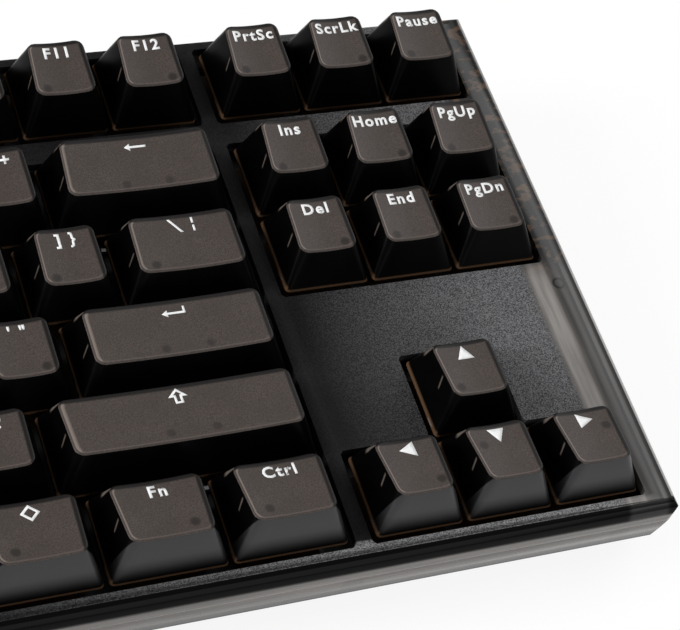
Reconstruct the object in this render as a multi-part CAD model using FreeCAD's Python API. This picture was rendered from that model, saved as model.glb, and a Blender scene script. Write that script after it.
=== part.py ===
"""Tenkeyless mechanical keyboard, built as an assembly of separate pieces, in millimetres.

Deck frame (used while modelling): x = 0 at the left edge of the key grid, y = 0 on the axis of the
bottom key row, z = 0 on the top face of the switch plate, +y towards the back, +z along key travel.
Row frame (used for the files): the deck leans by the typing angle and the keyboard rests on z = 0,
with the origin under the middle of the case.
"""
import FreeCAD, Part
import math
import os

V = FreeCAD.Vector

# ---------------------------------------------------------------- key grid
PITCH = 19.05               # distance between neighbouring 1-unit keys
FUNCTION_ROW_GAP = 6.97     # extra space between the number row and the function row
KEYCAP_GAP = 0.9            # between the skirts of neighbouring keycaps

# ---------------------------------------------------------------- keycap
CAP_SIDE_INSET = 3.06       # top edge inside the skirt edge, left and right, at mid height
CAP_CORNER = 1.1            # bevel on the four slanted corners
CAP_DISH = 0.6              # depth of the finger dish
SPACE_CROWN = 0.9           # rise of the space bar's crowned top
CAP_WALL = 1.2
CAP_ROOF = 1.4              # least thickness under the dish
SKIRT_ABOVE_PLATE = 6.25    # lower edge of a released keycap
POST_SIZE = 5.4             # square post that joins the roof to the stem

# Sculpted rows: height of the top face's middle above the skirt edge.
FUNCTION_TOP_HEIGHT = 10.20
NUMBER_TOP_HEIGHT = 10.10
UPPER_TOP_HEIGHT = 8.20
HOME_TOP_HEIGHT = 7.65
LOWER_TOP_HEIGHT = 8.50
BOTTOM_TOP_HEIGHT = 8.70
# Tilt of the top face, in degrees; + leans to the typist.
FUNCTION_TOP_TILT = 7.9
NUMBER_TOP_TILT = 8.1
UPPER_TOP_TILT = 3.3
HOME_TOP_TILT = 0.4
LOWER_TOP_TILT = -5.5
BOTTOM_TOP_TILT = -8.7
# Shift of the top face's middle to the back of the key's axis.
FUNCTION_TOP_SHIFT = 1.22
NUMBER_TOP_SHIFT = 1.43
UPPER_TOP_SHIFT = 1.35
HOME_TOP_SHIFT = 1.20
LOWER_TOP_SHIFT = 0.95
BOTTOM_TOP_SHIFT = 0.65
# Depth of the top face, along its slope.
FUNCTION_TOP_DEPTH = 12.4
NUMBER_TOP_DEPTH = 12.5
UPPER_TOP_DEPTH = 12.7
HOME_TOP_DEPTH = 12.6
LOWER_TOP_DEPTH = 12.9
BOTTOM_TOP_DEPTH = 13.2
ROW_TOPS = {
    "function": (FUNCTION_TOP_HEIGHT, FUNCTION_TOP_TILT, FUNCTION_TOP_SHIFT, FUNCTION_TOP_DEPTH),
    "number": (NUMBER_TOP_HEIGHT, NUMBER_TOP_TILT, NUMBER_TOP_SHIFT, NUMBER_TOP_DEPTH),
    "upper": (UPPER_TOP_HEIGHT, UPPER_TOP_TILT, UPPER_TOP_SHIFT, UPPER_TOP_DEPTH),
    "home": (HOME_TOP_HEIGHT, HOME_TOP_TILT, HOME_TOP_SHIFT, HOME_TOP_DEPTH),
    "lower": (LOWER_TOP_HEIGHT, LOWER_TOP_TILT, LOWER_TOP_SHIFT, LOWER_TOP_DEPTH),
    "bottom": (BOTTOM_TOP_HEIGHT, BOTTOM_TOP_TILT, BOTTOM_TOP_SHIFT, BOTTOM_TOP_DEPTH),
}

# ---------------------------------------------------------------- switch
HOUSING_BODY = 13.9         # square body that drops through the plate
HOUSING_FLANGE = 15.6       # square rim that rests on the plate
HOUSING_TOP_WIDTH = 10.6
HOUSING_TOP_DEPTH = 10.0
HOUSING_TOP = 6.6           # housing top above the plate
HOUSING_DROP = 5.0          # housing bottom below the plate's top face
HOUSING_FLOOR = 1.2
TRAVEL = 4.0
SLIDER_WIDTH = 6.6
SLIDER_DEPTH = 5.7
SLIDER_CLEARANCE = 0.15     # each side, inside the housing
SLIDER_SPARE = 0.3          # left under the slider at full travel

# ---------------------------------------------------------------- stabilisers
STABILISED_FROM = 2.0       # keys this wide (in units) and wider are stabilised
STABILISER_OFFSET = 11.94   # stem to stabiliser axis, keys up to 3 units
SPACE_STABILISER_OFFSET = 50.0
STAB_WIDTH = 6.5            # housing width along x
STAB_LOWER_DEPTH = 13.2     # housing depth inside the plate
STAB_LIP = 0.7              # rim that rests on the plate, beyond the lower depth at each end
STAB_STEP = 2.0             # height of the rim, where the housing narrows
STAB_UPPER_DEPTH = 9.2      # housing depth under the keycap roof
STAB_TOP = 5.5
STAB_BOTTOM = -4.6
STAB_SLIDER_WIDTH = 4.2
STAB_SLIDER_DEPTH = 5.7
STAB_SLIDER_BOTTOM = 0.6
STAB_CLEARANCE = 0.2        # slider to housing, each side
WIRE_RADIUS = 0.7
WIRE_BAR_Y = -9.0           # the long bar's place, from the key's axis
WIRE_BAR_Z = 1.3
WIRE_ARM = 8.3              # bar axis to the end of an arm
WIRE_REST_ANGLE = 16.0      # arm above the level when the key is up
WIRE_CLEARANCE = 0.15       # around an arm inside the slider's pocket and the housing's slot
WIRE_CLIP_FIT = 0.05        # around the bar inside its clip
CLIP_WIDTH = 1.8
CLIP_WALL = 0.4
CLIP_FROM_ARM = 1.4         # clip's near side, from the arm's axis

# ---------------------------------------------------------------- plate and board
PLATE_THICKNESS = 1.5
PLATE_CUTOUT = 14.0
PLATE_MARGIN = 0.425        # plate beyond the outermost housings, left and right
PLATE_FRONT = -8.3
PLATE_REAR_EDGE = 1.25      # inside the key grid at the back
STAB_CUTOUT_CLEARANCE = 0.1
BOARD_THICKNESS = 1.6
BOARD_MARGIN = 0.125        # board beyond the outermost housings, left and right
BOARD_FRONT = -8.0
BOARD_HOLE_CLEARANCE = 0.5  # around a case pillar

# ---------------------------------------------------------------- case
CASE_SIDE = 8.0             # case beyond the key grid, left and right
CASE_FRONT = 4.9            # case beyond the key grid at the front
CASE_REAR = 4.5
CASE_CORNER = 3.0           # corner radius in plan
BEZEL_ABOVE_PLATE = 6.75
BEZEL_THICKNESS = 2.0
EDGE_INSET = 2.5            # the curved top edge: how far it reaches in over the bezel,
EDGE_DROP = 4.6             # and how far down the wall
EDGE_FLATS = 4              # narrow faces that make up the curve
OPENING_MARGIN = 0.78       # bezel opening beyond the key cells
OPENING_CORNER = 0.7        # bevel in the corners of an opening
SEAM_BELOW_BEZEL = 5.0      # where the top and bottom shells meet
WALL = 2.2
FLOOR = 1.8
UNDERCUT_BELOW_BEZEL = 10.2 # where the front wall turns under
UNDERCUT = 5.0
SIDE_UNDERCUT = 2.5
REAR_UNDERCUT = 3.0
CORNER_CUT_TOP = 1.3        # slanted cut at the lower corners, along the diagonal at the seam
CORNER_CUT_LOW = 5.0        # the same at the desk
TYPING_ANGLE = 4.5
FRONT_HEIGHT = 18.5         # desk to the bezel's front edge
FOOT_HEIGHT = 1.5           # desk to the underside of the case

# ---------------------------------------------------------------- screws and their pillars
PILLAR_RADIUS = 2.9
SIDE_BOSS_RADIUS = 2.0      # slimmer where a pressed key passes
SCREW_SHANK_RADIUS = 1.2
SCREW_HEAD_RADIUS = 2.1
SCREW_HEAD_HEIGHT = 1.6
SCREW_LENGTH = 12.5
SCREW_SEAT = -9.0           # head seat, from the plate's top face
SCREW_CLEARANCE = 0.15

# ---------------------------------------------------------------- USB-C receptacle
USB_UNITS = 7.5             # its place along the rear, in key units
USB_WIDTH = 8.94
USB_HEIGHT = 3.26
USB_LENGTH = 7.4
USB_SHELL = 0.3
USB_TONGUE_WIDTH = 6.7
USB_TONGUE_HEIGHT = 0.7
USB_TONGUE_LENGTH = 4.5
USB_MOUTH_INSIDE = 4.8      # mouth, inside the rear face
USB_RELIEF_WIDTH = 12.8     # opening in the rear wall for a plug's grip
USB_RELIEF_HEIGHT = 7.0
BOARD_REAR_GAP = 0.6        # board to the rear wall
BOARD_NOTCH_CLEARANCE = 0.5 # board beside the plug's grip

# ---------------------------------------------------------------- feet
PAD_WIDTH = 26.0
PAD_DEPTH = 8.0
PAD_RECESS = 0.5
PAD_CORNER = 2.0
PAD_SIDE = 24.0             # pad's middle, inside the case's side
PAD_FRONT = 14.0            # pad's middle, behind the front face
PAD_REAR = 9.0              # pad's middle, inside the rear face
FOOT_SIDE = 38.0            # tilt foot's middle, inside the case's side
FOOT_HINGE_FROM_REAR = 19.0
FOOT_WIDTH = 28.0
FOOT_LENGTH = 15.0          # hinge axis to the tip
FOOT_KNUCKLE = 2.1          # radius around the hinge axis
FOOT_BLADE = 3.6            # thickness
FOOT_PIN_RADIUS = 1.2
FOOT_PIN_LENGTH = 1.6
FOOT_PIN_FIT = 0.05
FOOT_INSET = 0.2            # stowed foot, inside the underside
POCKET_CLEARANCE = 0.4
POCKET_HEEL = 0.9           # air around the knuckle
POCKET_WALL = 2.0

# ---------------------------------------------------------------- layout
FUNCTION_ROW = 5            # rows count from 0, the one nearest the typist
GAP = None
KEY_ROWS = (
    ("bottom", (
        ("keys_ctrl_to_alt_left", 1.25, 1.25, 1.25), ("key_space", 6.25), ("key_alt_right", 1.25),
        ("key_super_right", 1.25), ("key_fn", 1.25), ("key_ctrl_right", 1.25), (GAP, 0.25),
        ("key_arrow_left", 1), ("key_arrow_down", 1), ("key_arrow_right", 1))),
    ("lower", (
        ("key_shift_left", 2.25), ("keys_z_to_b", 1, 1, 1, 1, 1), ("keys_n_to_period", 1, 1, 1, 1),
        ("key_slash", 1), ("key_shift_right", 2.75), (GAP, 1.25), ("key_arrow_up", 1))),
    ("home", (
        ("keys_caps_to_g", 1.75, 1, 1, 1, 1, 1), ("keys_h_to_semicolon", 1, 1, 1, 1, 1),
        ("key_quote", 1), ("key_enter", 2.25))),
    ("upper", (
        ("keys_tab_to_t", 1.5, 1, 1, 1, 1, 1), ("keys_y_to_p", 1, 1, 1, 1, 1),
        ("key_bracket_left", 1), ("key_bracket_right", 1), ("key_backslash", 1.5), (GAP, 0.25),
        ("key_delete", 1), ("key_end", 1), ("key_page_down", 1))),
    ("number", (
        ("keys_grave_to_5", 1, 1, 1, 1, 1, 1), ("keys_6_to_minus", 1, 1, 1, 1, 1, 1),
        ("key_equals", 1), ("key_backspace", 2), (GAP, 0.25),
        ("key_insert", 1), ("key_home", 1), ("key_page_up", 1))),
    ("function", (
        ("key_escape", 1), (GAP, 1), ("keys_f1_to_f4", 1, 1, 1, 1), (GAP, 0.5),
        ("keys_f5_to_f8", 1, 1, 1, 1), (GAP, 0.5), ("key_f9", 1), ("key_f10", 1),
        ("key_f11", 1), ("key_f12", 1), (GAP, 0.25),
        ("key_print_screen", 1), ("key_scroll_lock", 1), ("key_pause", 1))),
)
# Bezel openings, in key units: left edge, right edge, first row and last row.
OPENINGS = (
    ((0, 15, 0, 4),),
    ((15.25, 18.25, 3, 4),),
    ((15.25, 18.25, 0, 0), (16.25, 17.25, 0, 1)),
    ((0, 1, 5, 5),),
    ((2, 6, 5, 5),),
    ((6.5, 10.5, 5, 5),),
    ((11, 15, 5, 5),),
    ((15.25, 18.25, 5, 5),),
)
# Screws: along the bar behind the number row, and one in each side of the case.
BAR_SCREW_UNITS = (3.0, 15.125)
SIDE_SCREW_FROM_EDGE = 5.8
SIDE_SCREW_Y = 41.1

# ---------------------------------------------------------------- derived places
GRID_WIDTH = 18.25 * PITCH
PLATE_EDGE = (PITCH - HOUSING_FLANGE) / 2 - PLATE_MARGIN
BOARD_EDGE = (PITCH - HOUSING_FLANGE) / 2 - BOARD_MARGIN
FUNCTION_ROW_Y = FUNCTION_ROW * PITCH + FUNCTION_ROW_GAP
X0, X1 = -CASE_SIDE, GRID_WIDTH + CASE_SIDE
Y0 = -PITCH / 2 - CASE_FRONT
Y1 = FUNCTION_ROW_Y + PITCH / 2 + CASE_REAR
BEZEL = BEZEL_ABOVE_PLATE
SEAM = BEZEL - SEAM_BELOW_BEZEL
BOARD_TOP = -HOUSING_DROP
BOARD_BOTTOM = BOARD_TOP - BOARD_THICKNESS
BOARD_REAR = Y1 - WALL - BOARD_REAR_GAP
USB_X = USB_UNITS * PITCH
USB_Z = BOARD_BOTTOM - USB_HEIGHT / 2
SINE, COSINE = math.sin(math.radians(TYPING_ANGLE)), math.cos(math.radians(TYPING_ANGLE))
DECK_HEIGHT = FRONT_HEIGHT - Y0 * SINE - BEZEL * COSINE
SLIDER_BOTTOM = -HOUSING_DROP + HOUSING_FLOOR + SLIDER_SPARE + TRAVEL


def row_y(row):
    """Deck y of the axis of a key row, counted from the typist."""
    return FUNCTION_ROW_Y if row == FUNCTION_ROW else row * PITCH


def floor_z(y, height=FOOT_HEIGHT):
    """Deck z of the point over deck y that lies at a given height above the desk."""
    return (height - DECK_HEIGHT - y * SINE) / COSINE


def deck_shift():
    """Row-frame y of the deck's origin: puts the middle of the case's footprint at y = 0."""
    front = Y0 * COSINE - (BEZEL - EDGE_DROP) * SINE
    rear = Y1 * COSINE - (floor_z(Y1) + REAR_UNDERCUT) * SINE
    return -(front + rear) / 2


def to_row_frame(shape):
    """Lean a shape made in the deck frame by the typing angle and set it over the desk."""
    turned = shape.copy()
    turned.rotate(V(0, 0, 0), V(1, 0, 0), TYPING_ANGLE)
    turned.translate(V(-GRID_WIDTH / 2, deck_shift(), DECK_HEIGHT))
    return turned


# ---------------------------------------------------------------- shape helpers
def box(x0, x1, y0, y1, z0, z1):
    return Part.makeBox(x1 - x0, y1 - y0, z1 - z0, V(x0, y0, z0))


def block(width, depth, z0, z1, x=0.0, y=0.0):
    """Box centred on an upright axis."""
    return box(x - width / 2, x + width / 2, y - depth / 2, y + depth / 2, z0, z1)


def rod(radius, z0, z1, x=0.0, y=0.0):
    return Part.makeCylinder(radius, z1 - z0, V(x, y, z0))


def prism(points, direction):
    """Solid swept from a closed outline."""
    return Part.Face(Part.makePolygon(points + [points[0]])).extrude(direction)


def tapered(width, depth, front, back, lean):
    """Block on z = 0 whose top runs from front to back, both (y, z), and whose two sides lean in.

    lean is how far a side moves in for each millimetre of height.
    """
    top = max(front[1], back[1]) + 1
    half = width / 2
    side_view = [V(-half, -depth / 2, 0), V(-half, *front), V(-half, *back), V(-half, depth / 2, 0)]
    front_view = [V(-half, -depth, 0), V(half, -depth, 0),
                  V(half - lean * top, -depth, top), V(lean * top - half, -depth, top)]
    return prism(side_view, V(width, 0, 0)).common(prism(front_view, V(0, 2 * depth, 0)))


def upright_edges(body):
    return [e for e in body.Edges if abs(e.tangentAt(e.FirstParameter).z) > 0.9]


def rounded_box(x0, x1, y0, y1, z0, z1, radius):
    """Box with round upright corners."""
    body = box(x0, x1, y0, y1, z0, z1)
    return body.makeFillet(radius, upright_edges(body))


def moved(shape, x, y, z=0.0):
    copy = shape.copy()
    copy.translate(V(x, y, z))
    return copy


def fused(first, *others):
    return first.fuse(list(others)).removeSplitter() if others else first


# ---------------------------------------------------------------- keys
def stabiliser_offset(units):
    """Stabiliser axis to key axis, or None on a key that has no stabiliser."""
    if units < STABILISED_FROM:
        return None
    return SPACE_STABILISER_OFFSET if units > 3 else STABILISER_OFFSET


def stem_places(units):
    """x of the switch stem and of the stabiliser stems under one key."""
    offset = stabiliser_offset(units)
    return [0.0] if offset is None else [0.0, -offset, offset]


def bevel_corners(body):
    """Bevel the four slanted edges of a tapered block."""
    slanted = [e for e in body.Edges if abs(e.tangentAt(e.FirstParameter).z) > 0.5]
    return body.makeChamfer(CAP_CORNER, slanted)


def dish_cutter(top_width, middle, tilt):
    """Cylinder along the top face whose lowest line lies CAP_DISH under that face's middle."""
    radius = (top_width ** 2 / 4 + CAP_DISH ** 2) / (2 * CAP_DISH)
    along = V(0, math.cos(tilt), math.sin(tilt))
    up = V(0, -math.sin(tilt), math.cos(tilt))
    start = middle + up * (radius - CAP_DISH) - along * PITCH
    return Part.makeCylinder(radius, 2 * PITCH, start, along)


def crown(top_width, middle, tilt, top_depth):
    """Segment of a cylinder that crowns a top face from front to back."""
    radius = (top_depth ** 2 / 4 + SPACE_CROWN ** 2) / (2 * SPACE_CROWN)
    up = V(0, -math.sin(tilt), math.cos(tilt))
    start = middle - up * (radius - SPACE_CROWN) - V(top_width / 2, 0, 0)
    whole = Part.makeCylinder(radius, top_width, start, V(1, 0, 0))
    keep = block(2 * top_width, top_depth, 0, 2 * SPACE_CROWN)
    keep.rotate(V(0, 0, 0), V(1, 0, 0), math.degrees(tilt))
    keep.translate(middle)
    return whole.common(keep)


def keycap_shell(row, units):
    """Hollow keycap over the key's axis, with z = 0 on its lower edge, and the height of its roof."""
    height, tilt_deg, shift, top_depth = ROW_TOPS[row]
    tilt = math.radians(tilt_deg)
    width = units * PITCH - KEYCAP_GAP
    depth = PITCH - KEYCAP_GAP
    middle = V(0, shift, height)
    reach = V(0, math.cos(tilt), math.sin(tilt)) * (top_depth / 2)
    front, back = middle - reach, middle + reach
    lean = CAP_SIDE_INSET / height
    lowest = min(front.z, back.z)
    top_width = width - 2 * lean * lowest
    body = bevel_corners(tapered(width, depth, (front.y, front.z), (back.y, back.z), lean))
    if units > 3:
        body = fused(body, crown(top_width - 2 * CAP_CORNER, middle, tilt, top_depth - CAP_CORNER))
    else:
        body = body.cut(dish_cutter(top_width, middle, tilt))
    roof = lowest - CAP_DISH - CAP_ROOF
    inner_depth = depth - 2 * CAP_WALL
    inner_front = -inner_depth / 2 + (front.y + depth / 2) / front.z * roof
    inner_back = inner_depth / 2 - (depth / 2 - back.y) / back.z * roof
    hollow = tapered(width - 2 * CAP_WALL, inner_depth, (inner_front, roof), (inner_back, roof), lean)
    return body.cut(hollow), roof


def stabiliser_slider():
    """Slider of a stabiliser: a pocket in its front takes the end of the wire's arm."""
    slider = block(STAB_SLIDER_WIDTH, STAB_SLIDER_DEPTH, STAB_SLIDER_BOTTOM, HOUSING_TOP)
    rest = math.radians(WIRE_REST_ANGLE)
    end_y = WIRE_BAR_Y + WIRE_ARM * math.cos(rest)
    end_z = WIRE_BAR_Z + WIRE_ARM * math.sin(rest)
    reach = end_y + STAB_SLIDER_DEPTH / 2
    swing = reach * math.tan(rest) + WIRE_RADIUS / math.cos(rest) + WIRE_CLEARANCE
    half = WIRE_RADIUS + WIRE_CLEARANCE
    pocket = box(-half, half, -STAB_SLIDER_DEPTH / 2, end_y + WIRE_RADIUS, end_z - swing, end_z + swing)
    return slider.cut(pocket)


def key(row, units):
    """One released key over its axis, z = 0 on the plate: keycap and the stems that it is pressed on."""
    shell, roof = keycap_shell(row, units)
    pieces = [moved(shell, 0, 0, SKIRT_ABOVE_PLATE)]
    slider = block(SLIDER_WIDTH, SLIDER_DEPTH, SLIDER_BOTTOM, HOUSING_TOP)
    for x in stem_places(units):
        width = POST_SIZE if x == 0 else STAB_SLIDER_WIDTH
        pieces.append(block(width, POST_SIZE, HOUSING_TOP, roof + SKIRT_ABOVE_PLATE, x))
        pieces.append(slider if x == 0 else moved(stabiliser_slider(), x, 0))
    return fused(*pieces)


def keys_in_layout():
    """Every key as (node, row name, row number, deck x of its axis, width in units)."""
    places = []
    for number, (row, groups) in enumerate(KEY_ROWS):
        left = 0.0
        for name, *widths in groups:
            for units in widths:
                if name is not GAP:
                    places.append((name, row, number, (left + units / 2) * PITCH, units))
                left += units
    return places


# ---------------------------------------------------------------- switches and stabilisers
def switch_housing():
    """Closed switch housing over its axis, hollow for the slider, z = 0 on the plate's top face."""
    lower = block(HOUSING_BODY, HOUSING_BODY, -HOUSING_DROP, 0)
    lean = (HOUSING_FLANGE - HOUSING_TOP_WIDTH) / 2 / HOUSING_TOP
    upper = tapered(HOUSING_FLANGE, HOUSING_FLANGE, (-HOUSING_TOP_DEPTH / 2, HOUSING_TOP),
                    (HOUSING_TOP_DEPTH / 2, HOUSING_TOP), lean)
    well = block(SLIDER_WIDTH + 2 * SLIDER_CLEARANCE, SLIDER_DEPTH + 2 * SLIDER_CLEARANCE,
                 -HOUSING_DROP + HOUSING_FLOOR, HOUSING_TOP)
    return fused(lower, upper).cut(well)


def stabiliser_housing(side):
    """Housing of one stabiliser over its axis; side is +1 where the key's middle lies to +x."""
    lower = block(STAB_WIDTH, STAB_LOWER_DEPTH, STAB_BOTTOM, 0)
    lip = block(STAB_WIDTH, STAB_LOWER_DEPTH + 2 * STAB_LIP, 0, STAB_STEP)
    upper = block(STAB_WIDTH, STAB_UPPER_DEPTH, STAB_STEP, STAB_TOP)
    well = block(STAB_SLIDER_WIDTH + 2 * STAB_CLEARANCE, STAB_SLIDER_DEPTH + 2 * STAB_CLEARANCE,
                 STAB_BOTTOM, STAB_TOP)
    swing = WIRE_ARM * math.sin(math.radians(WIRE_REST_ANGLE))
    half = WIRE_RADIUS + WIRE_CLEARANCE
    slot = box(-half, half, -STAB_LOWER_DEPTH, 0, WIRE_BAR_Z - swing - WIRE_RADIUS,
               WIRE_BAR_Z + swing + WIRE_RADIUS)
    clip = clip_on_bar(side)
    return fused(lower, lip, upper, clip).cut(well).cut(slot)


def clip_on_bar(side):
    """Finger in front of a stabiliser housing, with a groove that holds the wire's bar."""
    near, far = CLIP_FROM_ARM, CLIP_FROM_ARM + CLIP_WIDTH
    x0, x1 = (near, far) if side > 0 else (-far, -near)
    groove = WIRE_RADIUS + WIRE_CLIP_FIT
    finger = box(x0, x1, WIRE_BAR_Y - groove - CLIP_WALL, -STAB_LOWER_DEPTH / 2,
                 0, WIRE_BAR_Z + WIRE_RADIUS / 2)
    channel = box(x0, x1, WIRE_BAR_Y - groove, WIRE_BAR_Y + groove,
                  WIRE_BAR_Z - groove, WIRE_BAR_Z + 2 * WIRE_RADIUS)
    return finger.cut(channel)


def stabiliser_wire(offset):
    """Bent wire: a bar in front of the key and an arm back to each stabiliser slider."""
    rest = math.radians(WIRE_REST_ANGLE)
    arm = V(0, math.cos(rest), math.sin(rest)) * WIRE_ARM
    corner = V(offset, WIRE_BAR_Y, WIRE_BAR_Z)
    other = V(-offset, WIRE_BAR_Y, WIRE_BAR_Z)
    path = Part.makePolygon([other + arm, other, corner, corner + arm])
    ring = Part.makeCircle(WIRE_RADIUS, other + arm, arm)
    section = Part.makePolygon([ring.valueAt(math.radians(60 * i)) for i in range(7)])
    return Part.Wire(path.Edges).makePipeShell([section], True, True, 1)


# ---------------------------------------------------------------- plate, board and fasteners
def screw_places():
    """Deck (x, y) of every case screw; the last two stand beside the plate."""
    bar_y = (row_y(FUNCTION_ROW - 1) + row_y(FUNCTION_ROW)) / 2
    through_plate = [(u * PITCH, bar_y) for u in BAR_SCREW_UNITS]
    beside = [(X0 + SIDE_SCREW_FROM_EDGE, SIDE_SCREW_Y), (X1 - SIDE_SCREW_FROM_EDGE, SIDE_SCREW_Y)]
    return through_plate, beside


def switch_plate():
    sheet = box(PLATE_EDGE, GRID_WIDTH - PLATE_EDGE, PLATE_FRONT,
                FUNCTION_ROW_Y + PITCH / 2 - PLATE_REAR_EDGE, -PLATE_THICKNESS, 0)
    holes = []
    for _, _, number, x, units in keys_in_layout():
        y = row_y(number)
        holes.append(block(PLATE_CUTOUT, PLATE_CUTOUT, -PLATE_THICKNESS, 0, x, y))
        offset = stabiliser_offset(units)
        if offset is not None:
            width = STAB_WIDTH + 2 * STAB_CUTOUT_CLEARANCE
            depth = STAB_LOWER_DEPTH + 2 * STAB_CUTOUT_CLEARANCE
            holes += [block(width, depth, -PLATE_THICKNESS, 0, x + s * offset, y) for s in (-1, 1)]
    for x, y in screw_places()[0]:
        holes.append(rod(SCREW_SHANK_RADIUS + SCREW_CLEARANCE, -PLATE_THICKNESS, 0, x, y))
    return sheet.cut(Part.makeCompound(holes))


def circuit_board():
    sheet = box(BOARD_EDGE, GRID_WIDTH - BOARD_EDGE, BOARD_FRONT, BOARD_REAR, BOARD_BOTTOM, BOARD_TOP)
    size = 2 * (PILLAR_RADIUS + BOARD_HOLE_CLEARANCE)
    holes = [block(size, size, BOARD_BOTTOM, BOARD_TOP, x, y) for x, y in screw_places()[0]]
    half = USB_RELIEF_WIDTH / 2 + BOARD_NOTCH_CLEARANCE
    notch = box(USB_X - half, USB_X + half, Y1 - USB_MOUTH_INSIDE, Y1, BOARD_BOTTOM, BOARD_TOP)
    return sheet.cut(Part.makeCompound(holes + [notch]))


def case_screw():
    """Screw that points up from its seat."""
    shank = rod(SCREW_SHANK_RADIUS, SCREW_SEAT, SCREW_SEAT + SCREW_LENGTH)
    head = rod(SCREW_HEAD_RADIUS, SCREW_SEAT - SCREW_HEAD_HEIGHT, SCREW_SEAT)
    return fused(shank, head)


def usb_socket():
    """Receptacle under the board, its mouth in the rear wall."""
    mouth = Y1 - USB_MOUTH_INSIDE
    half_w, half_h = USB_WIDTH / 2, USB_HEIGHT / 2
    shell = box(USB_X - half_w, USB_X + half_w, mouth - USB_LENGTH, mouth, USB_Z - half_h, USB_Z + half_h)
    along = [e for e in shell.Edges if abs(e.tangentAt(e.FirstParameter).y) > 0.9]
    shell = shell.makeChamfer(USB_HEIGHT / 4, along)
    cavity = box(USB_X - half_w + USB_SHELL, USB_X + half_w - USB_SHELL, mouth - USB_LENGTH + 2 * USB_SHELL,
                 mouth, USB_Z - half_h + USB_SHELL, USB_Z + half_h - USB_SHELL)
    along = [e for e in cavity.Edges if abs(e.tangentAt(e.FirstParameter).y) > 0.9]
    cavity = cavity.makeChamfer(USB_HEIGHT / 4 - USB_SHELL / 2, along)
    back = mouth - USB_LENGTH + 2 * USB_SHELL
    tongue = box(USB_X - USB_TONGUE_WIDTH / 2, USB_X + USB_TONGUE_WIDTH / 2, back, back + USB_TONGUE_LENGTH,
                 USB_Z - USB_TONGUE_HEIGHT / 2, USB_Z + USB_TONGUE_HEIGHT / 2)
    return fused(shell.cut(cavity), tongue)


# ---------------------------------------------------------------- case
def bezel_opening(parts):
    """Cutter for one opening: cells widened by the margin, with eased corners."""
    cutters = []
    for left, right, first, last in parts:
        cutters.append(box(left * PITCH - OPENING_MARGIN, right * PITCH + OPENING_MARGIN,
                           row_y(first) - PITCH / 2 - OPENING_MARGIN, row_y(last) + PITCH / 2 + OPENING_MARGIN,
                           BEZEL - 2 * BEZEL_THICKNESS, BEZEL + BEZEL_THICKNESS))
    whole = fused(*cutters)
    return whole.makeChamfer(OPENING_CORNER, upright_edges(whole))


def upper_block():
    """Block over the seam whose top edge curves in on all four sides."""
    turns = [math.radians(90 * step / EDGE_FLATS) for step in range(EDGE_FLATS + 1)]
    curve = [(EDGE_INSET * (1 - math.sin(t)), BEZEL - EDGE_DROP * (1 - math.cos(t))) for t in turns]
    curve.append((0, SEAM))
    side_view = [V(X0, Y0 + inset, z) for inset, z in curve]
    side_view += [V(X0, Y1 - inset, z) for inset, z in reversed(curve)]
    front_view = [V(X0 + inset, Y0, z) for inset, z in curve]
    front_view += [V(X1 - inset, Y0, z) for inset, z in reversed(curve)]
    body = prism(side_view, V(X1 - X0, 0, 0)).common(prism(front_view, V(0, Y1 - Y0, 0)))
    return body.common(rounded_box(X0, X1, Y0, Y1, SEAM, BEZEL, CASE_CORNER))


def top_case():
    """Upper shell: bezel with its openings, side walls down to the seam, and screw bosses."""
    shell = upper_block().cut(box(X0 + WALL, X1 - WALL, Y0 + WALL, Y1 - WALL, SEAM, BEZEL - BEZEL_THICKNESS))
    shell = shell.cut(Part.makeCompound([bezel_opening(parts) for parts in OPENINGS]))
    through_plate, beside = screw_places()
    bosses = [rod(PILLAR_RADIUS, 0, BEZEL - BEZEL_THICKNESS, x, y) for x, y in through_plate]
    bosses += [rod(SIDE_BOSS_RADIUS, 0, BEZEL - BEZEL_THICKNESS, x, y) for x, y in beside]
    pilots = [rod(SCREW_SHANK_RADIUS, 0, SCREW_SEAT + SCREW_LENGTH, x, y) for x, y in through_plate + beside]
    inside = box(X0 + WALL, X1 - WALL, Y0 + WALL, Y1 - WALL, 0, BEZEL)
    bosses = [boss.common(inside) for boss in bosses]
    return fused(shell, *bosses).cut(Part.makeCompound(pilots))


def shell_block(inset, floor):
    """Block under the seam with its undercuts; inset and floor take off the wall and the floor."""
    y0, y1 = Y0 + inset, Y1 - inset
    turn = BEZEL - UNDERCUT_BELOW_BEZEL
    height = FOOT_HEIGHT + floor
    front_foot, rear_foot = y0 + UNDERCUT, y1 - REAR_UNDERCUT
    side_view = [V(X0 + inset, y0, SEAM), V(X0 + inset, y0, turn),
                 V(X0 + inset, front_foot, floor_z(front_foot, height)),
                 V(X0 + inset, rear_foot, floor_z(rear_foot, height)),
                 V(X0 + inset, y1, floor_z(y1, height) + REAR_UNDERCUT), V(X0 + inset, y1, SEAM)]
    body = prism(side_view, V(X1 - X0 - 2 * inset, 0, 0))
    start, end = y0 - 1, y1 + 1
    along = V(0, end - start, floor_z(end) - floor_z(start))
    low = floor_z(start, height)
    for side, edge in ((-1, X0 + inset), (1, X1 - inset)):
        outside = edge + side
        section = [V(outside, start, low + SIDE_UNDERCUT + 1), V(outside, start, low - 1),
                   V(edge - side * (SIDE_UNDERCUT + 1), start, low - 1)]
        body = body.cut(prism(section, along))
    return body


def corner_cut(x, y, out_x, out_y, inset):
    """Cutter that slants a lower corner; out_x and out_y, each -1 or 1, point out of the case."""
    out = V(out_x, out_y, 0) / math.sqrt(2)
    along = V(-out_y, out_x, 0) * (2 * UNDERCUT)
    low = floor_z(y)
    section = [V(x, y, SEAM) - out * (CORNER_CUT_TOP + inset), V(x, y, low) - out * (CORNER_CUT_LOW + inset),
               V(x, y, low) + out * UNDERCUT, V(x, y, SEAM) + out * UNDERCUT]
    return prism([point - along / 2 for point in section], along)


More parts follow.
